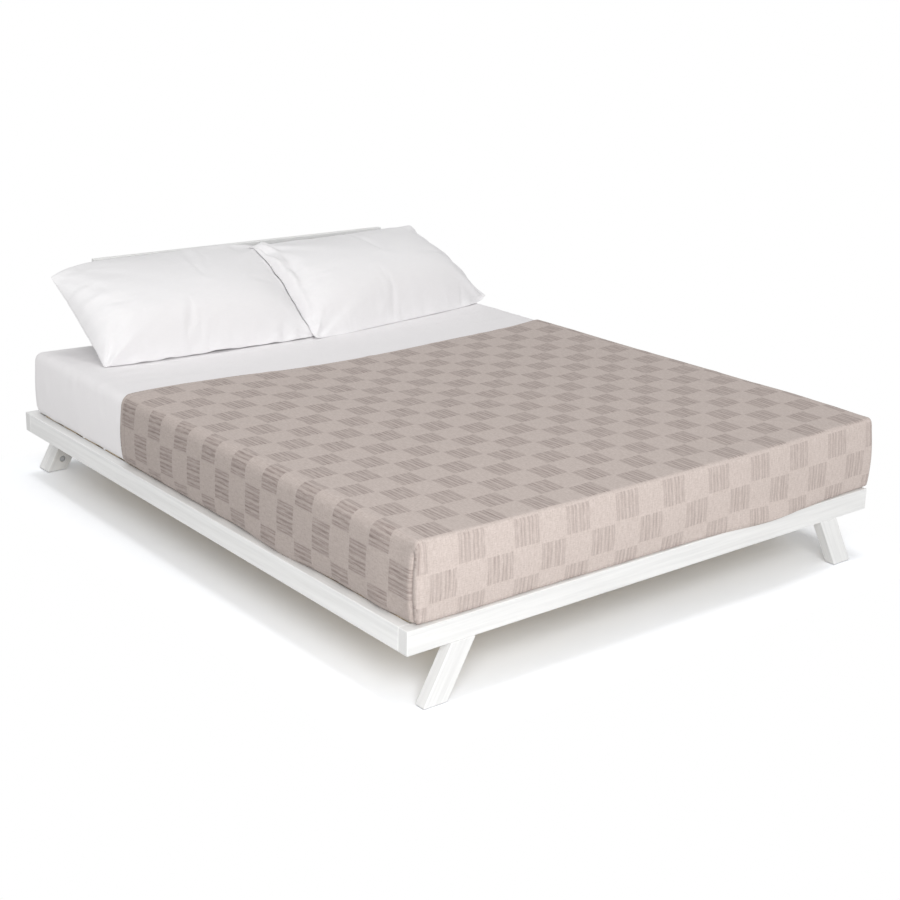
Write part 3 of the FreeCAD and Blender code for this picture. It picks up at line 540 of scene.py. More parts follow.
class Hand:
    """Modelling by Blender's own operators, on one piece at a time."""

    @staticmethod
    def pick(piece: Piece | None) -> None:
        """Leave only one piece selected and active."""
        if bpy.context.object is not None and bpy.context.object.mode != "OBJECT":
            bpy.ops.object.mode_set(mode="OBJECT")
        bpy.ops.object.select_all(action="DESELECT")
        bpy.context.view_layer.objects.active = piece
        if piece is not None:
            piece.select_set(True)

    @staticmethod
    def cloth(name: str, low: Triple, high: Triple, columns: int, rows: int) -> Piece:
        """Flat grid between two corners, at the height of the higher one.

        Args:
            name: Name of the piece.
            low: Its lowest corner.
            high: Its highest corner.
            columns: Faces across.
            rows: Faces along.

        Returns:
            The new piece, with its place in its mesh.
        """
        Hand.pick(None)
        middle = [(first + last) / 2 for first, last in zip(low, high)]
        place = (middle[0], middle[1], high[2])
        bpy.ops.mesh.primitive_grid_add(x_subdivisions=columns, y_subdivisions=rows, size=1, location=place)
        piece = bpy.context.object
        piece.name = name
        piece.data.name = name
        piece.scale = (high[0] - low[0], high[1] - low[1], 1)
        bpy.ops.object.transform_apply(location=True, rotation=True, scale=True)
        return piece

    @staticmethod
    def grade(piece: Piece, axis: int, cells: int, first: int, last: int, share: float) -> None:
        """Draw a grid's first and last lines closer together.

        Args:
            piece: The grid.
            axis: 0 for lines across, 1 for lines along.
            cells: Faces along that axis.
            first: How many of the first faces are narrowed.
            last: How many of the last faces are narrowed.
            share: Their width as a share of the others'.
        """
        points = Hand.points(piece)
        steps = np.ones(cells)
        steps[:first] = share
        steps[cells - last:] = share
        marks = np.concatenate([[0], np.cumsum(steps)]) / steps.sum()
        low, high = points[:, axis].min(), points[:, axis].max()
        place = (points[:, axis] - low) / (high - low)
        points[:, axis] = low + (high - low) * np.interp(place, np.linspace(0, 1, cells + 1), marks)
        Hand.move(piece, points)

    @staticmethod
    def pick_rim(piece: Piece, skip_head: bool = False) -> None:
        """Select a mesh's free edges, in edit mode.

        Args:
            piece: The mesh.
            skip_head: True leaves out the edge at the highest Y.
        """
        Hand.pick(piece)
        bpy.ops.object.mode_set(mode="EDIT")
        bpy.ops.mesh.select_mode(type="EDGE")
        bpy.ops.mesh.select_all(action="DESELECT")
        mesh = bmesh.from_edit_mesh(piece.data)
        head = max(vertex.co.y for vertex in mesh.verts) - TOUCH
        for edge in mesh.edges:
            at_head = all(vertex.co.y > head for vertex in edge.verts)
            edge.select_set(edge.is_boundary and not (skip_head and at_head))
        mesh.select_flush_mode()
        bmesh.update_edit_mesh(piece.data)

    @staticmethod
    def turn_outwards() -> None:
        """Turn every face of the mesh in edit mode outwards, and leave that mode."""
        bpy.ops.mesh.select_all(action="SELECT")
        bpy.ops.mesh.normals_make_consistent(inside=False)
        bpy.ops.object.mode_set(mode="OBJECT")

    @staticmethod
    def pull_down(piece: Piece, depth: float, steps: int, skip_head: bool = False) -> None:
        """Extrude a grid's free edges downwards into sides.

        Args:
            piece: The grid.
            depth: How far down the sides reach.
            steps: Rows of faces in the sides.
            skip_head: True leaves the edge at the highest Y open.
        """
        Hand.pick_rim(piece, skip_head)
        for _ in range(steps):
            bpy.ops.mesh.extrude_region_move(TRANSFORM_OT_translate={"value": (0, 0, -depth / steps)})
        Hand.turn_outwards()

    @staticmethod
    def points(piece: Piece) -> np.ndarray:
        """Places of a mesh's vertices, one row each."""
        flat = np.empty(len(piece.data.vertices) * 3)
        piece.data.vertices.foreach_get("co", flat)
        return flat.reshape(-1, 3)

    @staticmethod
    def normals(piece: Piece) -> np.ndarray:
        """Outward direction at each vertex."""
        flat = np.empty(len(piece.data.vertices) * 3)
        piece.data.vertex_normals.foreach_get("vector", flat)
        return flat.reshape(-1, 3)

    @staticmethod
    def cloth_map(piece: Piece) -> np.ndarray:
        """Places on a cloth's own map, one row for each corner of each face."""
        flat = np.empty(len(piece.data.loops) * 2)
        piece.data.uv_layers.active.data.foreach_get("uv", flat)
        return flat.reshape(-1, 2)

    @staticmethod
    def set_map(piece: Piece, places: np.ndarray) -> None:
        """Give a cloth's own map new places."""
        piece.data.uv_layers.active.data.foreach_set("uv", places.ravel())

    @staticmethod
    def move(piece: Piece, points: np.ndarray) -> None:
        """Put a mesh's vertices at new places."""
        piece.data.vertices.foreach_set("co", points.ravel())
        piece.data.update()

    @staticmethod
    def finish(piece: Piece, kind: str, **settings: float | int | str | bool) -> None:
        """Add a modifier with its settings and apply it."""
        Hand.pick(piece)
        bpy.ops.object.modifier_add(type=kind)
        modifier = piece.modifiers[-1]
        for name, value in settings.items():
            setattr(modifier, name, value)
        bpy.ops.object.modifier_apply(modifier=modifier.name)

    @staticmethod
    def smooth(piece: Piece, angle: float = 50) -> None:
        """Shade a piece smooth, apart from edges sharper than an angle."""
        Hand.pick(piece)
        bpy.ops.object.shade_smooth_by_angle(angle=math.radians(angle))

    @staticmethod
    def dress(piece: Piece, material: Material, body: str, slot: str, *nodes: str) -> None:
        """Give a new piece its finish, the body it rides on and the nodes it stands for."""
        piece.data.materials.clear()
        piece.data.materials.append(material)
        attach(piece, body)
        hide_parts(*nodes)
        log.info("%s: %d faces, for %s", piece.name, len(piece.data.polygons), ", ".join(nodes))


@dataclass
class BeddingForm:
    """Shape of the mattress that the cloth follows: rounded, a little dished, tucked in under its sides."""

    left: float = -0.788
    right: float = 0.824
    foot: float = -1.0165
    head: float = 0.9675
    seat: float = 0.2053
    top: float = 0.4033
    side_round: float = 0.028
    head_round: float = 0.040
    shoulder: float = 0.028
    foot_shoulder: float = 0.024
    tuck: float = 0.030
    foot_tuck: float = 0.010
    corner_tuck: float = 0.012
    corner_reach: float = 0.11
    tuck_angle: float = 82.0
    foot_reach: float = 0.22
    pinch: float = 0.011
    pinch_along: float = 0.16
    pinch_across: float = 0.10
    dish: float = 0.007
    tilt: float = 0.003
    dish_level: float = 0.35
    foot_fall: float = 0.006
    fall_reach: float = 0.35
    uneven: float = 0.002
    uneven_lump: Triple = (0.42, 0.5, 2.0)
    bulge: float = 0.007
    bulge_share: float = 1.15
    dent: float = 0.0025
    dent_lump: Triple = (0.3, 0.3, 0.2)
    hem_above: float = 0.0004
    lumps: Lumps = field(default_factory=lambda: Lumps(11))

    def low(self, grow: float) -> Triple:
        """Lowest corner of a layer over the mattress."""
        return (self.left - grow, self.foot - grow, self.seat)

    def high(self, grow: float) -> Triple:
        """Highest corner of a layer over the mattress."""
        return (self.right + grow, self.head + grow, self.top + grow)

    def rounds(self, points: np.ndarray, corner: float) -> tuple[np.ndarray, np.ndarray, np.ndarray]:
        """Radii of the rounding along X, Y and Z at points of the square block.

        Args:
            points: Points on the block.
            corner: Radius of the upright corners at the foot.

        Returns:
            One radius along each axis for every point.
        """
        near_foot = eased(1 - (points[:, 1] - self.foot) / self.foot_reach)
        across = self.side_round + (corner - self.side_round) * near_foot
        along = np.where(points[:, 1] < 0, corner, self.head_round)
        upward = self.shoulder + (self.foot_shoulder - self.shoulder) * near_foot
        return across, along, upward

    def pinched(self, square: np.ndarray, grow: float) -> np.ndarray:
        """How far along X the cloth at the foot's corners is drawn in."""
        near_foot = eased(1 - (square[:, 1] - self.foot + grow) / self.pinch_along)
        near_left = eased(1 - (square[:, 0] - self.left + grow) / self.pinch_across)
        near_right = eased(1 - (self.right + grow - square[:, 0]) / self.pinch_across)
        return self.pinch * near_foot * (near_left - near_right)

    def surface(self, places: np.ndarray, grow: float) -> np.ndarray:
        """Height of a layer's top at level places."""
        flat = np.column_stack([places, np.full(len(places), self.top + grow)])
        return self.settled(flat, np.zeros_like(places), flat[:, 2])[:, 2]

    def wrap(self, square: np.ndarray, grow: float, corner: float) -> np.ndarray:
        """Round points of a square block into the mattress's shape.

        Args:
            square: Points on the block's top and sides.
            grow: How far the layer lies outside the mattress.
            corner: Radius of the upright corners at the foot.

        Returns:
            The points in their rounded places.
        """
        low, high = np.array(self.low(grow)), np.array(self.high(grow))
        across, along, upward = self.rounds(square, corner)
        radii = np.stack([across, along, upward], axis=1) + grow
        core_low = low + radii
        core_low[:, 2] = -np.inf
        core = np.clip(square, core_low, high - radii)
        offset = (square - core) / radii
        length = np.maximum(np.linalg.norm(offset, axis=1, keepdims=True), 1e-9)
        placed = core + offset / length * np.where(length > 1e-6, 1, 0) * radii
        outward = offset[:, :2] / np.maximum(np.linalg.norm(offset[:, :2], axis=1, keepdims=True), 1e-9)
        footward = np.clip(-outward[:, 1], 0, 1) ** 2
        near_corner = eased(1 - (square[:, 1] - self.foot) / self.corner_reach)
        side_tuck = self.tuck + (self.corner_tuck - self.tuck) * near_corner
        tuck = side_tuck + (self.foot_tuck - side_tuck) * footward
        drop = np.clip((self.seat + tuck - square[:, 2]) / tuck, 0, 1)
        angle = np.radians(self.tuck_angle) * drop
        inset = (tuck + grow) * (1 - np.cos(angle))
        placed[:, :2] -= outward * inset[:, None]
        lowered = self.seat + tuck - tuck * np.sin(angle)
        placed[:, 2] = np.where(drop > 0, lowered + self.hem_above, placed[:, 2])
        placed[:, 0] += self.pinched(square, grow)
        return self.settled(placed, outward, square[:, 2])

    def settled(self, placed: np.ndarray, outward: np.ndarray, height: np.ndarray) -> np.ndarray:
        """Dish the top, swell the sides and make both uneven, with the head end flat beside the headboard.

        Args:
            placed: Rounded points.
            outward: Level direction away from the mattress at each point.
            height: Heights before rounding.

        Returns:
            The settled points.
        """
        settled = placed.copy()
        half = (self.right - self.left) / 2
        across = (placed[:, 0] - (self.right + self.left) / 2) / half
        weight = eased((placed[:, 2] - self.seat) / (self.top - self.seat))
        near_foot = eased(1 - (placed[:, 1] - self.foot) / self.fall_reach)
        rise = self.dish * (across**2 - self.dish_level) + self.tilt * across - self.foot_fall * near_foot
        rise += self.uneven * self.lumps.at(placed, self.uneven_lump)
        settled[:, 2] += weight * rise
        share = np.clip((height - self.seat) / (self.top - self.seat), 0, 1)
        swell = self.bulge * np.sin(np.pi * np.clip(share * self.bulge_share, 0, 1))
        swell += self.dent * self.lumps.at(placed, self.dent_lump) * weight
        swell *= 1 - np.clip(outward[:, 1], 0, 1)
        settled[:, :2] += outward * swell[:, None]
        return settled

    def map_cloth(self, piece: Piece, square: np.ndarray, grow: float, corner: float) -> None:
        """Lay a cloth's own map on it, in metres: flat on top and on down the sides.

        Args:
            piece: The cloth, before it has a thickness.
            square: Its points on the square block.
            grow: How far the layer lies outside the mattress.
            corner: Radius of the upright corners at the foot.
        """
        low, high = np.array(self.low(grow)), np.array(self.high(grow))
        radii = np.stack(self.rounds(square, corner), axis=1) + grow
        middle = (low + high) / 2
        half = (high - low) / 2
        quarter = math.pi / 4
        reach = np.abs(square - middle)[:, :2]
        flat_half = half[:2] - radii[:, :2]
        beyond = np.maximum(reach - flat_half, 0)
        top = np.sign(square[:, :2] - middle[:2]) * (np.minimum(reach, flat_half) + beyond * quarter)
        depth = high[2] - square[:, 2]
        shoulder = radii[:, 2]
        fall = np.minimum(depth, shoulder) * quarter + np.maximum(depth - shoulder, 0)
        edge = flat_half + radii[:, :2] * quarter
        mesh = piece.data
        corners = np.empty(len(mesh.loops), dtype=int)
        mesh.loops.foreach_get("vertex_index", corners)
        counts = np.empty(len(mesh.polygons), dtype=int)
        mesh.polygons.foreach_get("loop_total", counts)
        faces = np.repeat(np.arange(len(mesh.polygons)), counts)
        centre = np.zeros((len(mesh.polygons), 3))
        for axis in range(3):
            centre[:, axis] = np.bincount(faces, square[corners, axis]) / counts
        on_top = centre[:, 2] > high[2] - TOUCH
        gap = half[:2] - np.abs(centre[:, :2] - middle[:2])
        on_side = ~on_top & (gap[:, 0] <= gap[:, 1])
        place = top[corners].copy()
        sides = on_side[faces]
        ends = (~on_top & ~on_side)[faces]
        signs = np.sign(square[:, :2] - middle[:2])
        place[sides, 0] = (signs[:, 0] * (edge[:, 0] + fall))[corners][sides]
        place[ends, 1] = (signs[:, 1] * (edge[:, 1] + fall))[corners][ends]
        place += middle[:2]
        place[:, 0] += self.pinched(square, grow)[corners]
        layer = mesh.uv_layers.active or mesh.uv_layers.new(name="cloth")
        layer.name = "cloth"
        layer.data.foreach_set("uv", place.ravel())


@dataclass
class Mattress:
    """Foam mattress in its ticking, hidden by the cloth on it."""

    form: BeddingForm
    cell: float = 0.028
    corner: float = 0.075
    steps: int = 8
    base_inset: float = 0.05
    finish: Cotton = Cotton("mattress_ticking", (226, 222, 212), (198, 196, 190), 0.0018, 0.5)

    def build(self) -> None:
        """Model the mattress and dress it."""
        low, high = self.form.low(0), self.form.high(0)
        columns, rows = (round((high[axis] - low[axis]) / self.cell) for axis in (0, 1))
        piece = Hand.cloth("mattress_body", low, high, columns, rows)
        Hand.pull_down(piece, high[2] - low[2], self.steps)
        square = Hand.points(piece)
        self.form.map_cloth(piece, square, 0, self.corner)
        Hand.move(piece, self.form.wrap(square, 0, self.corner))
        Hand.pick_rim(piece)
        bpy.ops.mesh.edge_face_add()
        bpy.ops.mesh.inset(thickness=self.base_inset, depth=0.0)
        bpy.ops.object.mode_set(mode="OBJECT")
        Hand.smooth(piece)
        Hand.dress(piece, self.finish.material(), "bedding", "ticking", "mattress")


@dataclass
class FittedSheet:
    """White sheet drawn over the whole mattress."""

    form: BeddingForm
    grow: float = 0.0005
    thickness: float = 0.0014
    columns: int = 168
    rows: int = 150
    steps: int = 20
    corner: float = 0.075
    shown_rows: int = 92
    shown_share: float = 0.3
    shown_from: float = 0.36
    shown_fade: float = 0.06
    level_crease: Triple = (0.16, 0.03, 0.09)
    upright_crease: Triple = (0.05, 0.045, 0.5)
    level_lift: float = 0.0025
    upright_lift: float = 0.0030
    finish: Cotton = Cotton("white_sheet", (243, 241, 242), (236, 233, 234), 0.0012, 0.45)
    lumps: Lumps = field(default_factory=lambda: Lumps(23))

    def build(self) -> None:
        """Model the sheet, closer meshed where it shows, and dress it."""
        low, high = self.form.low(self.grow), self.form.high(self.grow)
        piece = Hand.cloth("fitted_sheet_cloth", low, high, self.columns, self.rows)
        Hand.grade(piece, 1, self.rows, 0, self.shown_rows, self.shown_share)
        drop = high[2] - low[2]
        Hand.pull_down(piece, drop, self.steps)
        square = Hand.points(piece)
        self.form.map_cloth(piece, square, self.grow, self.corner)
        Hand.move(piece, self.form.wrap(square, self.grow, self.corner))
        self.wrinkle(piece)
        Hand.finish(piece, "SOLIDIFY", thickness=self.thickness, offset=1.0)
        Hand.smooth(piece)
        Hand.dress(piece, self.finish.material(), "bedding", "white_sheet", "fitted_sheet")

    def wrinkle(self, piece: Piece) -> None:
        """Raise soft creases on the part that shows, fading out below the bedspread."""
        points, outward = Hand.points(piece), Hand.normals(piece)
        shown = eased((points[:, 1] - self.shown_from) / self.shown_fade)
        shown *= 1 - np.clip(outward[:, 1], 0, 1)
        level = self.lumps.at(points, self.level_crease)
        upright = self.lumps.at(points, self.upright_crease)
        side = 1 - np.abs(outward[:, 2])
        lift = np.maximum(level, 0) * self.level_lift * (1 - side)
        lift += np.maximum(upright, 0) * self.upright_lift * side
        Hand.move(piece, points + outward * (shown * lift)[:, None])


@dataclass
class Bedspread:
    """Woven bedspread over the foot of the bed and down both sides, its hem tucked in above the rails."""

    form: BeddingForm
    grow: float = 0.0024
    thickness: float = 0.0029
    edge: float = 0.353
    columns: int = 190
    rows: int = 160
    steps: int = 24
    fine: int = 8
    fine_share: float = 0.35
    corner: float = 0.009
    drawn: float = 0.03
    drawn_from: tuple[float, float] = (-0.8, -0.3)
    drawn_reach: tuple[float, float] = (1.2, 0.65)
    rumple: float = 0.006
    rumple_aside: Triple = (0.24, 0.30, 1.0)
    rumple_ahead: Triple = (0.26, 0.22, 1.0)
    other_draw: float = 7.3
    edge_from: float = -0.3
    edge_degree: int = 5
    hem_height: float = 0.07
    hem_lift: float = 0.003
    hem_lift_reach: float = 0.04
    slip: tuple[float, float] = (0.40, 0.20)
    slip_out: float = 0.014
    slip_down: float = 0.007
    sags: tuple[tuple[float, float, float], ...] = ((-0.47, 0.13, 1.0), (-0.90, 0.05, 0.5))
    sag_out: float = 0.009
    sag_down: float = 0.004
    fold_depth: float = 0.009
    fold_behind: tuple[float, float] = (0.011, 0.004)
    fold_below: float = 0.014
    fold_fade: float = 0.02
    broad_fold: Triple = (0.20, 0.26, 0.22)
    broad_lift: float = 0.0022
    broad_least: float = -0.2
    narrow_fold: Triple = (0.035, 0.3, 0.1)
    narrow_lift: float = 0.0018
    narrow_from: float = 0.2
    narrow_turn: tuple[float, float] = (0.8, 0.6)
    finish: CheckWeave = CheckWeave()
    lumps: Lumps = field(default_factory=lambda: Lumps(41))
    edge_line: tuple[tuple[float, float], ...] = (
        (-0.79, 0.345), (-0.755, 0.352), (-0.635, 0.366), (-0.40, 0.350), (-0.095, 0.334), (0.25, 0.342),
        (0.55, 0.357), (0.79, 0.380),
    )

    def build(self) -> None:
        """Model the cover, its folds and its hems, and dress it."""
        low, high = self.form.low(self.grow), self.form.high(self.grow)
        piece = Hand.cloth("check_bedspread", low, (high[0], self.edge, high[2]), self.columns, self.rows)
        for axis, cells in enumerate((self.columns, self.rows)):
            Hand.grade(piece, axis, cells, self.fine, self.fine, self.fine_share)
        drop = high[2] - low[2]
        Hand.pull_down(piece, drop, self.steps, skip_head=True)
        square = Hand.points(piece)
        self.form.map_cloth(piece, square, self.grow, self.corner)
        self.skew(piece)
        placed = self.form.wrap(square, self.grow, self.corner)
        Hand.move(piece, self.hang(square, placed))
        self.crease(piece)
        Hand.finish(piece, "SOLIDIFY", thickness=self.thickness, offset=1.0)
        Hand.smooth(piece)
        Hand.dress(piece, self.finish.material(), "bedding", "taupe_weave", "bedspread")

    def skew(self, piece: Piece) -> None:
        """Draw the weave down on the left near the head edge and rumple it, as the cover lies askew."""
        place = Hand.cloth_map(piece)
        spots = np.column_stack([place, np.zeros(len(place))])
        rightwards, headwards = eased((place - np.array(self.drawn_from)) / np.array(self.drawn_reach)).T
        drawn = self.drawn * headwards * (1 - rightwards)
        aside = self.rumple * self.lumps.at(spots, self.rumple_aside)
        ahead = self.rumple * self.lumps.at(spots + self.other_draw, self.rumple_ahead)
        Hand.set_map(piece, np.column_stack([place[:, 0] + drawn + aside, place[:, 1] + ahead]))

    def hang(self, square: np.ndarray, placed: np.ndarray) -> np.ndarray:
        """Curve the head edge, fold the foot's corners and let the hem slip over the foot rail.

        Args:
            square: Points on the square block.
            placed: The same points wrapped round the mattress.

        Returns:
            The points as the cloth hangs.
        """
        hung = placed.copy()
        low, high = np.array(self.form.low(self.grow)), np.array(self.form.high(self.grow))
        across, along = np.array(self.edge_line).T
        line = np.polynomial.Polynomial.fit(across, along, self.edge_degree)
        near_edge = eased((square[:, 1] - self.edge_from) / (self.edge - self.edge_from))
        hung[:, 1] += near_edge * (line(np.clip(placed[:, 0], across[0], across[-1])) - self.edge)
        hem = eased(1 - (square[:, 2] - self.form.seat) / self.hem_height)
        at_foot = square[:, 1] < low[1] + TOUCH
        at_left = square[:, 0] < low[0] + TOUCH
        slip = hump(square[:, 0], *self.slip) * hem * at_foot
        hung[:, 1] -= slip * self.slip_out
        hung[:, 2] -= slip * self.slip_down
        sag = sum(share * hump(square[:, 1], middle, half) for middle, half, share in self.sags)
        hung[:, 0] -= sag * at_left * hem * self.sag_out
        hung[:, 2] -= sag * at_left * hem * self.sag_down
        behind = hump(square[:, 1] - low[1], *self.fold_behind)
        upright = eased((high[2] - self.fold_below - square[:, 2]) / self.fold_fade)
        for side, inward in ((low[0], 1), (high[0], -1)):
            beside = np.abs(square[:, 0] - side)
            corner = np.hypot(beside, square[:, 1] - low[1])
            hung[:, 2] += self.hem_lift * np.exp(-corner / self.hem_lift_reach) * hem
            hung[:, 0] += inward * self.fold_depth * behind * upright * (beside < TOUCH)
        return hung

    def crease(self, piece: Piece) -> None:
        """Raise broad soft folds, and narrow ones askew across the bed."""
        points, outward = Hand.points(piece), Hand.normals(piece)
        broad = self.lumps.at(points, self.broad_fold)
        straight, aside = self.narrow_turn
        turn = np.array([[straight, -aside, 0], [aside, straight, 0], [0, 0, 1]])
        narrow = self.lumps.at(points @ turn, self.narrow_fold)
        lift = self.broad_lift * np.maximum(broad, self.broad_least)
        lift += self.narrow_lift * np.maximum(narrow - self.narrow_from, 0)
        Hand.move(piece, points + outward * lift[:, None])


class Side(Enum):
    """Which half of the bed a pillow lies on."""

    LEFT = "left"
    RIGHT = "right"


@dataclass
class CaseCloth:
    """Sewn case under the push of its filling: a small cloth simulation, the same on every run.

    Each stage has a number of steps, rounds of holding the threads in each step, and a push.
    """

    seam: float
    seed: int
    bump: float = 0.02
    bump_passes: int = 5
    start: float = 0.004
    drag: float = 0.9
    bend: float = 0.05
    stages: tuple[tuple[int, int, float], ...] = ((40, 6, 0.0004), (60, 20, 0.00003))

    @staticmethod
    def threads() -> list[tuple[tuple[slice, slice], tuple[slice, slice]]]:
        """Spots that threads hold together across, along and aslant, in sets that share no spot."""
        every, fore, back = slice(None), slice(None, -1), slice(1, None)
        found = []
        for start in (0, 1):
            near, far = slice(start, -1, 2), slice(start + 1, None, 2)
            found += [((near, every), (far, every)), ((every, near), (every, far))]
            found += [((near, fore), (far, back)), ((near, back), (far, fore))]
        return found

    @staticmethod
    def tie(first: np.ndarray, second: np.ndarray, rest: np.ndarray | float) -> None:
        """Draw two sets of spots to the distance that they have at rest."""
        gap = second - first
        length = np.sqrt((gap * gap).sum(axis=-1, keepdims=True))
        pull = gap * (0.5 - 0.5 * rest / np.maximum(length, 1e-9))
        first += pull
        second -= pull

    @staticmethod
    def outward(spots: np.ndarray) -> np.ndarray:
        """Direction away from the filling at each spot, back layer first."""
        facing = np.cross(np.gradient(spots, axis=0), np.gradient(spots, axis=1))
        facing /= np.maximum(np.sqrt((facing * facing).sum(axis=-1, keepdims=True)), 1e-12)
        return facing * np.array([-1.0, 1.0])[:, None]

    def settle(self, flat: np.ndarray) -> np.ndarray:
        """Blow the flat case up, then let it slacken until its cloth buckles.

        Args:
            flat: Spots of the flat case by column, row and layer, back layer first.

        Returns:
            The spots of the filled case.
        """
        spots = flat.copy()
        draw = np.random.default_rng(self.seed)
        for layer, side in enumerate((-1, 1)):
            lumps = spread_out(draw.uniform(-1, 1, flat.shape[:2]), self.bump_passes)
            spots[:, :, layer, 2] += side * self.start + self.bump * lumps
        held = [
            (near, far, np.linalg.norm(flat[far] - flat[near], axis=-1, keepdims=True))
            for near, far in self.threads()
        ]
        rims = ((0, slice(None)), (-1, slice(None)), (slice(None), 0), (slice(None), -1))
        before = spots.copy()
        for steps, rounds, push in self.stages:
            for _ in range(steps):
                moved = (spots - before) * self.drag + push * self.outward(spots)
                before = spots.copy()
                spots += moved
                for _ in range(rounds):
                    for near, far, rest in held:
                        self.tie(spots[near], spots[far], rest)
                    for rim in rims:
                        self.tie(spots[rim][:, 0], spots[rim][:, 1], self.seam)
                middle = (spots[:-2, 1:-1] + spots[2:, 1:-1] + spots[1:-1, :-2] + spots[1:-1, 2:]) / 4
                spots[1:-1, 1:-1] += self.bend * (middle - spots[1:-1, 1:-1])
        return spots


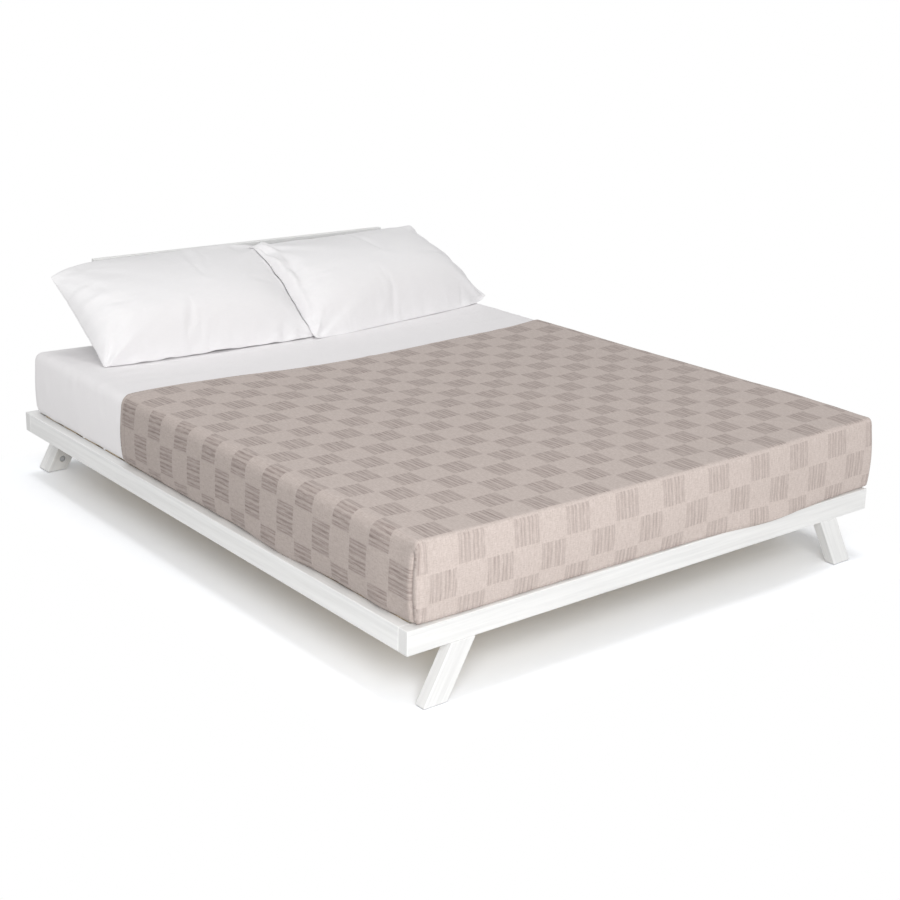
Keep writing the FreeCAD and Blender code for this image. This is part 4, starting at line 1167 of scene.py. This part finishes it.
@dataclass
class Pillow:
    """Stuffed pillow in a plain case, leaning on the headboard."""

    side: Side
    low_outer: Triple
    low_inner: Triple
    high_outer: Triple
    high_inner: Triple
    top_bow: Triple = (0.0, 0.030, 0.032)
    low_bow: Triple = (0.0, -0.016, 0.0)
    inner_end: tuple[float, float] = (3.0, 0.8)
    outer_end: tuple[float, float] = (6.0, 0.5)
    flat: tuple[float, float] = (0.80, 0.50)
    columns: int = 100
    rows: int = 62
    seam: float = 0.004
    seed: int = 3
    front_depth: float = 0.118
    back_depth: float = 0.045
    squareness: float = 0.85
    peak: float = 0.40
    puff_share: float = 0.15
    bow_end: int = 5
    bow_rise: int = 3
    fall_ease: float = 0.8
    wrinkle: float = 1.05
    wrinkle_passes: tuple[int, int] = (2, 40)
    wrinkle_rim: float = 12.0
    wrinkle_least: float = 0.45
    back_share: float = 0.4
    gather: float = 0.0065
    gather_end: Triple = (0.16, 0.034, 1.0)
    gather_rim: Triple = (0.036, 0.16, 1.0)
    gather_reach: tuple[float, float] = (0.08, 0.05)
    gather_start: float = 0.012
    other_draw: float = 5.7
    fan: float = 0.020
    fan_draw: int = 51
    ray: Triple = (0.22, 0.35, 1.0)
    ray_start: float = 0.02
    ray_reach: float = 0.15
    wave: float = 0.006
    wave_length: Triple = (0.045, 1.0, 1.0)
    wave_rows: float = 8.0
    wave_way: tuple[float, float] = (-0.5, 1.0)
    clearance: float = 0.003
    lift_reach: float = 0.5
    lift_passes: int = 10
    shade_angle: float = 60
    filling_share: float = 0.92
    filling_thickness: float = 0.75
    seat_above: float = 0.0032
    headboard: float = 0.9728
    finish: Cotton = Cotton("white_pillowcase", (243, 242, 243), (237, 235, 236), 0.0011, 0.4)
    tick: Cotton = Cotton("pillow_tick", (232, 230, 224), (220, 217, 210), 0.0014, 0.3)

    def blank(self) -> Piece:
        """Sew the case flat: two layers with a narrow wall between them."""
        wide, tall = self.flat
        low, high = (-wide / 2, -tall / 2, 0), (wide / 2, tall / 2, self.seam / 2)
        piece = Hand.cloth(f"pillowcase_{self.side.value}_cloth", low, high, self.columns, self.rows)
        Hand.pick(piece)
        bpy.ops.object.mode_set(mode="EDIT")
        bpy.ops.mesh.select_all(action="SELECT")
        bpy.ops.mesh.extrude_region_move(TRANSFORM_OT_translate={"value": (0, 0, -self.seam)})
        Hand.turn_outwards()
        return piece

    def corners(self) -> list[np.ndarray]:
        """Corners of the leaning seam: low inner, low outer, high inner, high outer."""
        found = (self.low_inner, self.low_outer, self.high_inner, self.high_outer)
        return [np.array(corner) for corner in found]

    def front(self) -> np.ndarray:
        """Direction that the pillow faces."""
        low_inner, low_outer, high_inner, high_outer = self.corners()
        across = low_outer + high_outer - low_inner - high_inner
        upward = high_inner + high_outer - low_inner - low_outer
        facing = np.cross(across, upward)
        facing *= np.sign(facing[2]) / np.linalg.norm(facing)
        return facing

    def loft(self, across: np.ndarray, upward: np.ndarray) -> np.ndarray:
        """How full the pillow is: steep from its low seam, easing off to the top, square at its ends.

        Args:
            across: Place from -1 at the inner end to 1 at the outer one.
            upward: Place from 0 at the low seam to 1 at the top.

        Returns:
            A share of the full depth.
        """
        rise = np.sin(np.pi / 2 * np.clip(upward / self.peak, 0, 1))
        fall = np.cos(np.pi / 2 * np.clip((upward - self.peak) / (1 - self.peak), 0, 1)) ** self.fall_ease
        power, ease = (np.where(across > 0, *ends) for ends in zip(self.outer_end, self.inner_end))
        return np.where(upward < self.peak, rise, fall) * (1 - np.abs(across) ** power) ** ease

    def lean(self, sewn: np.ndarray, full: np.ndarray, layers: np.ndarray) -> np.ndarray:
        """Lean the pillow between its four corners, with the wrinkles of the inflated cloth.

        Args:
            sewn: Points of the flat case.
            full: The same points when it is inflated.
            layers: Back and front vertex of each spot of the case, by column and row.

        Returns:
            The points in the bed's frame.
        """
        mirror = np.array([-1 if self.side is Side.LEFT else 1, 1])
        drawn = full[:, :2] / np.abs(full[:, :2]).max(axis=0) * mirror
        square = sewn[:, :2] / np.abs(sewn[:, :2]).max(axis=0) * mirror
        place = self.squareness * square + (1 - self.squareness) * drawn
        outer, upper = (1 + place.T) / 2
        weights = ((1 - outer) * (1 - upper), outer * (1 - upper), (1 - outer) * upper, outer * upper)
        seat = sum(weight[:, None] * corner for weight, corner in zip(weights, self.corners()))
        middle = 1 - np.clip(np.abs(place[:, 0]), 0, 1) ** self.bow_end
        seat += (middle * np.clip(upper, 0, 1) ** self.bow_rise)[:, None] * np.array(self.top_bow)
        seat += (middle * np.clip(1 - upper, 0, 1) ** self.bow_rise)[:, None] * np.array(self.low_bow)
        waves = Lumps(self.seed + 1).at(sewn * [1, 0, 0], self.wave_length)
        waves *= self.wave * np.clip(1 - self.wave_rows * upper, 0, 1)
        seat[:, 1:] += waves[:, None] * np.array(self.wave_way)
        puff = np.abs(full[:, 2])
        loft = (1 - self.puff_share) * self.loft(square[:, 0], (1 + square[:, 1]) / 2)
        loft += self.puff_share * puff / puff.max()
        in_front = sewn[:, 2] > 0
        height = self.wrinkles(puff, square, layers) + self.gathers(sewn) + self.fans(sewn)
        depth = np.where(in_front, self.front_depth, -self.back_depth) * loft
        depth += np.where(in_front, 1.0, -self.back_share) * height
        depth += np.where(in_front, self.seam / 2, -self.seam / 2)
        return seat + self.front() * depth[:, None]

    def wrinkles(self, puff: np.ndarray, square: np.ndarray, layers: np.ndarray) -> np.ndarray:
        """Height of the inflated cloth's own wrinkles, strongest towards both ends.

        Args:
            puff: How far each point of the case is inflated.
            square: Places from -1 to 1 on the flat case.
            layers: Back and front vertex of each spot of the case, by column and row.

        Returns:
            One height for each point.
        """
        height = np.zeros(len(puff))
        for layer in range(2):
            fine, broad = (spread_out(puff[layers[:, :, layer]], passes) for passes in self.wrinkle_passes)
            height[layers[:, :, layer]] = fine - broad
        inside = np.clip(self.wrinkle_rim * (1 - np.abs(square).max(axis=1)), 0, 1)
        inside *= self.wrinkle_least + (1 - self.wrinkle_least) * square[:, 0] ** 2
        return self.wrinkle * height * inside

    def gathers(self, sewn: np.ndarray) -> np.ndarray:
        """Height of the small gathers along the seams, which fade towards the middle of the flat case."""
        lumps = Lumps(self.seed)
        room = np.array(self.flat) / 2 - np.abs(sewn[:, :2])
        ends = lumps.at(sewn, self.gather_end) * np.exp(-room[:, 0] / self.gather_reach[0])
        rims = lumps.at(sewn + self.other_draw, self.gather_rim) * np.exp(-room[:, 1] / self.gather_reach[1])
        return self.gather * (ends + rims) * np.clip(room.min(axis=1) / self.gather_start, 0, 1)

    def fans(self, sewn: np.ndarray) -> np.ndarray:
        """Height of the creases that fan out from the corners of the flat case."""
        height = np.zeros(len(sewn))
        for index, corner in enumerate(itertools.product((-0.5, 0.5), repeat=2)):
            reach = np.abs(sewn[:, :2] - np.array(corner) * np.array(self.flat))
            far = np.hypot(*reach.T)
            spots = np.column_stack([np.arctan2(reach[:, 1], reach[:, 0]), far, np.zeros(len(far))])
            rays = Lumps(self.seed + self.fan_draw + index).at(spots, self.ray)
            height += rays * np.clip(far / self.ray_start, 0, 1) * np.exp(-far / self.ray_reach)
        room = (np.array(self.flat) / 2 - np.abs(sewn[:, :2])).min(axis=1)
        return self.fan * height * np.clip(room / self.ray_start, 0, 1)

    def lie_on(self, points: np.ndarray, layers: np.ndarray, neighbour: Piece) -> None:
        """Push the end that overlaps another pillow forwards, so that it lies on that pillow.

        Args:
            points: This pillow's points, moved in place.
            layers: Back and front vertex of each spot of the case, by column and row.
            neighbour: The pillow behind.
        """
        mesh = neighbour.data
        faces = [tuple(face.vertices) for face in mesh.polygons]
        tree = BVHTree.FromPolygons([vertex.co for vertex in mesh.vertices], faces)
        facing = Vector(self.front())
        shift = np.zeros(layers.shape[:2])
        for spot in np.ndindex(*shift.shape):
            start = Vector(points[layers[spot][0]]) + facing * self.lift_reach
            distance = tree.ray_cast(start, -facing)[3]
            if distance is not None:
                shift[spot] = max(0.0, self.lift_reach - distance + self.clearance)
        for _ in range(self.lift_passes):
            shift = np.maximum(shift, spread_out(shift, 1))
        for layer in range(2):
            points[layers[:, :, layer]] += shift[:, :, None] * np.array(facing)

    @staticmethod
    def press(room: np.ndarray, soft: float = 0.005) -> np.ndarray:
        """Keep distances from a surface above zero, with a soft start."""
        return np.where(room > soft, room, soft * np.exp(np.minimum(room, soft) / soft - 1))

    def build(self, form: BeddingForm, neighbour: Piece | None = None) -> Piece:
        """Sew, fill and settle the pillow, with its filling inside the case.

        Args:
            form: Shape of the mattress that it lies on.
            neighbour: Another pillow that one end lies on.

        Returns:
            The case.
        """
        case = self.blank()
        sewn = Hand.points(case)
        order = np.lexsort((sewn[:, 2], np.round(sewn[:, 1], 5), np.round(sewn[:, 0], 5)))
        layers = order.reshape(self.columns + 1, self.rows + 1, 2)
        full = np.empty_like(sewn)
        full[layers] = CaseCloth(self.seam, self.seed).settle(sewn[layers])
        points = self.lean(sewn, full, layers)
        if neighbour is not None:
            self.lie_on(points, layers, neighbour)
        floor = form.surface(points[:, :2], self.seat_above)
        points[:, 2] = floor + self.press(points[:, 2] - floor)
        points[:, 1] = self.headboard - self.press(self.headboard - points[:, 1])
        Hand.move(case, points)
        Hand.set_map(case, Hand.cloth_map(case) * np.array(self.flat))
        body = f"{self.side.value}_pillow"
        self.fill(case, layers, body)
        Hand.finish(case, "SUBSURF", levels=1, render_levels=1)
        Hand.smooth(case, self.shade_angle)
        Hand.dress(case, self.finish.material(), body, "white_cotton", f"pillowcase_{self.side.value}")
        return case

    def fill(self, case: Piece, layers: np.ndarray, body: str) -> None:
        """Put the stuffed pillow inside its case, a little thinner and short of the seams.

        Args:
            case: The case, settled in its place.
            layers: Back and front vertex of each spot of the case, by column and row.
            body: The body that both ride on.
        """
        Hand.pick(case)
        bpy.ops.object.duplicate(linked=False)
        inner = bpy.context.object
        inner.name = f"pillow_{self.side.value}_filling"
        inner.data.name = inner.name
        points = Hand.points(inner)
        middle = points[layers].mean(axis=2, keepdims=True)
        spots = middle + self.filling_thickness * (points[layers] - middle)
        for axis, count in enumerate(spots.shape[:2]):
            place = (0.5 + self.filling_share * np.linspace(-0.5, 0.5, count)) * (count - 1)
            before = place.astype(int)
            part = (place - before).reshape([-1 if other == axis else 1 for other in range(spots.ndim)])
            spots = (1 - part) * spots.take(before, axis) + part * spots.take(before + 1, axis)
        points[layers] = spots
        Hand.move(inner, points)
        Hand.smooth(inner, self.shade_angle)
        Hand.dress(inner, self.tick.material(), body, "pillow_filling", f"pillow_{self.side.value}")


@dataclass
class Timber:
    """White boards of the frame and the headboard, and the bare ones of the slatted base."""

    white_across: tuple[str, ...] = (
        "foot_rail", "head_rail", "headboard_plank_upper", "headboard_plank_lower",
    )
    white_along: tuple[str, ...] = ("side_rail_left", "side_rail_right")
    white_leaning: tuple[str, ...] = ("leg_foot", "leg_head", "headboard_post")
    bare_along: tuple[str, ...] = ("slat_ledger_left", "slat_ledger_right", "centre_beam", "rail_dowels")
    bare_upright: tuple[str, ...] = ("centre_leg", "leg_dowels")
    slat_count: int = 14

    def dress(self) -> None:
        """Paint or leave bare every board, with its grain the way the board runs."""
        left, right = (tuple(f"{name}_{side.value}" for name in self.white_leaning) for side in Side)
        slats = tuple(f"slat_{index + 1:02d}" for index in range(self.slat_count))
        finishes = (
            (self.white_across, PaintedTimber(Grain.ACROSS)),
            (self.white_along, PaintedTimber(Grain.ALONG)),
            (left, PaintedTimber(Grain.LEAN_LEFT)),
            (right, PaintedTimber(Grain.LEAN_RIGHT)),
            (slats, BareTimber(Grain.ACROSS)),
            (self.bare_along, BareTimber(Grain.ALONG)),
            (self.bare_upright, BareTimber(Grain.UPRIGHT)),
        )
        for names, finish in finishes:
            coat(names, finish.material())


@dataclass
class Fittings:
    """Steel fittings and fasteners, and the felt under the legs."""

    steel: tuple[str, ...] = (
        "corner_bracket_foot_left", "corner_bracket_foot_right",
        "corner_bracket_head_left", "corner_bracket_head_right",
        "leg_plate_left", "leg_plate_right", "beam_hanger_foot", "beam_hanger_head",
        "bracket_screws", "plate_screws", "hanger_screws", "slat_screws", "ledger_screws",
        "headboard_screws", "post_bolts", "post_washers", "post_nuts", "centre_leg_screw",
    )
    felt: tuple[str, ...] = ("felt_pads",)

    def dress(self) -> None:
        """Plate the steel and colour the felt."""
        coat(self.steel, ZincSteel().material())
        coat(self.felt, GreyFelt().material())


def coat(names: Sequence[str], material: Material) -> None:
    """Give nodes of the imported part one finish.

    Args:
        names: The nodes.
        material: Their finish.
    """
    for name in names:
        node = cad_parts[name]
        node.data.materials.clear()
        node.data.materials.append(material)
    log.info("%s on %s", material.name, ", ".join(names))


@dataclass
class Studio:
    """Pale floor, soft light and the camera."""

    place: Triple = (-2.65937, -3.47429, 1.63082)
    yaw: float = 38.9289
    pitch: float = 15.5705
    roll: float = 1.2645
    focal_pixels: float = 1531.59
    centre: tuple[float, float] = (457.8, 380.93)
    picture: int = 900
    sensor: float = 36.0
    sight: float = 200.0
    ambient: float = 0.5
    lamp_place: Triple = (-3.28, -4.91, 3.05)
    lamp_target: Triple = (0, 0, 0.3)
    lamp_size: float = 3.0
    lamp_power: float = 222.0
    sun_power: float = 0.38
    sun_spread: float = 10.0
    floor_size: float = 60.0
    floor_below: float = 0.0005
    floor_colour: Colour = (0.8, 0.8, 0.8, 1)
    floor_seen: Colour = (1.28, 1.306, 1.348, 1)
    shadow_half: tuple[float, float] = (0.81, 1.03)
    shadow_fade: float = 0.16

    def camera(self) -> None:
        """Stand the camera where the bed is seen from its left foot corner."""
        yaw, pitch, roll = (math.radians(angle) for angle in (self.yaw, self.pitch, self.roll))
        forward = Vector((math.sin(yaw) * math.cos(pitch), math.cos(yaw) * math.cos(pitch), -math.sin(pitch)))
        right = Vector((math.cos(yaw), -math.sin(yaw), 0))
        up = right.cross(forward)
        turned_right = math.cos(roll) * right + math.sin(roll) * up
        turned_up = -math.sin(roll) * right + math.cos(roll) * up
        data = bpy.data.cameras.new("camera")
        data.sensor_width = self.sensor
        data.lens = self.focal_pixels / self.picture * data.sensor_width
        data.shift_x = (self.picture / 2 - self.centre[0]) / self.picture
        data.shift_y = (self.centre[1] - self.picture / 2) / self.picture
        data.clip_end = self.sight
        camera = bpy.data.objects.new("camera", data)
        turn = Matrix((turned_right, turned_up, -forward)).transposed().to_4x4()
        camera.matrix_world = Matrix.Translation(self.place) @ turn
        bpy.context.scene.collection.objects.link(camera)
        bpy.context.scene.camera = camera

    def world(self) -> None:
        """Even white surroundings that the camera sees as plain white."""
        world = bpy.data.worlds.new("studio")
        world.use_nodes = True
        bpy.context.scene.world = world
        tree = world.node_tree
        path = tree.nodes.new("ShaderNodeLightPath")
        seen = tree.nodes.new("ShaderNodeMath")
        seen.operation = "MAXIMUM"
        tree.links.new(path.outputs["Is Camera Ray"], seen.inputs[0])
        tree.links.new(path.outputs["Is Glossy Ray"], seen.inputs[1])
        strength = tree.nodes.new("ShaderNodeMath")
        strength.operation = "MULTIPLY_ADD"
        tree.links.new(seen.outputs[0], strength.inputs[0])
        strength.inputs[1].default_value = 1 - self.ambient
        strength.inputs[2].default_value = self.ambient
        background = tree.nodes["Background"]
        background.inputs["Color"].default_value = (1, 1, 1, 1)
        tree.links.new(strength.outputs[0], background.inputs["Strength"])

    def lamp(self) -> None:
        """Hang a square soft lamp on the left, in front of the bed."""
        data = bpy.data.lights.new("front_softbox", "AREA")
        data.size = self.lamp_size
        data.energy = self.lamp_power
        lamp = bpy.data.objects.new(data.name, data)
        aim = (Vector(self.lamp_target) - Vector(self.lamp_place)).to_track_quat("-Z", "Y")
        lamp.matrix_world = Matrix.Translation(self.lamp_place) @ aim.to_matrix().to_4x4()
        bpy.context.scene.collection.objects.link(lamp)

    def sun(self) -> None:
        """Light straight down, with a soft shadow edge."""
        data = bpy.data.lights.new("overhead", "SUN")
        data.energy = self.sun_power
        data.angle = math.radians(self.sun_spread)
        bpy.context.scene.collection.objects.link(bpy.data.objects.new(data.name, data))

    def floor(self) -> None:
        """Lay a pale floor that keeps the bed's shadow and goes plain white beside it."""
        Hand.pick(None)
        bpy.ops.mesh.primitive_plane_add(size=self.floor_size, location=(0, 0, -self.floor_below))
        floor = bpy.context.object
        floor.name = "studio_floor"
        bench = NodeBench("studio_floor")
        bench.tree.nodes.remove(bench.shader)
        path = bench.tree.nodes.new("ShaderNodeLightPath")
        seen = bench.sum("MAXIMUM", path.outputs["Is Camera Ray"], path.outputs["Is Glossy Ray"])
        beyond = [
            bench.sum("SUBTRACT", bench.sum("ABSOLUTE", part), half)
            for part, half in zip(bench.split(bench.spot(Source.PLACE)), self.shadow_half)
        ]
        away = bench.level(bench.sum("MAXIMUM", *beyond), (0, 0), (self.shadow_fade, 1))
        diffuse = bench.tree.nodes.new("ShaderNodeBsdfDiffuse")
        bench.feed(diffuse.inputs["Color"], bench.blend(seen, self.floor_colour, self.floor_seen))
        white = bench.tree.nodes.new("ShaderNodeEmission")
        mixed = bench.tree.nodes.new("ShaderNodeMixShader")
        feeds = (bench.sum("MULTIPLY", seen, away), diffuse.outputs[0], white.outputs[0])
        for socket, value in zip(mixed.inputs, feeds):
            bench.feed(socket, value)
        bench.feed(bench.tree.nodes["Material Output"].inputs["Surface"], mixed.outputs[0])
        floor.data.materials.append(bench.material)

    def build(self) -> None:
        """Set up the whole studio."""
        bpy.context.scene.view_settings.view_transform = "Standard"
        self.camera()
        self.world()
        self.floor()
        self.lamp()
        self.sun()


def main() -> None:
    """Build the bed's looks piece by piece."""
    logging.basicConfig(level=logging.INFO, format="%(name)s: %(message)s")
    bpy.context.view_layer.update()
    Timber().dress()
    Fittings().dress()
    form = BeddingForm()
    Mattress(form).build()
    FittedSheet(form).build()
    Bedspread(form).build()
    left_case = Pillow(
        Side.LEFT,
        low_outer=(-0.690, 0.661, 0.4035),
        low_inner=(0.062, 0.646, 0.4025),
        high_outer=(-0.742, 0.900, 0.648),
        high_inner=(0.035, 0.930, 0.655),
    ).build(form)
    Pillow(
        Side.RIGHT,
        low_outer=(0.842, 0.711, 0.433),
        low_inner=(0.040, 0.617, 0.4035),
        high_outer=(0.655, 0.925, 0.672),
        high_inner=(-0.034, 0.915, 0.664),
        top_bow=(0.0, 0.020, 0.006),
        low_bow=(0.0, -0.014, -0.030),
        inner_end=(4.0, 0.6),
        outer_end=(4.0, 0.7),
        seed=8,
    ).build(form, left_case)
    Studio().build()


if __name__ == "__main__":
    main()
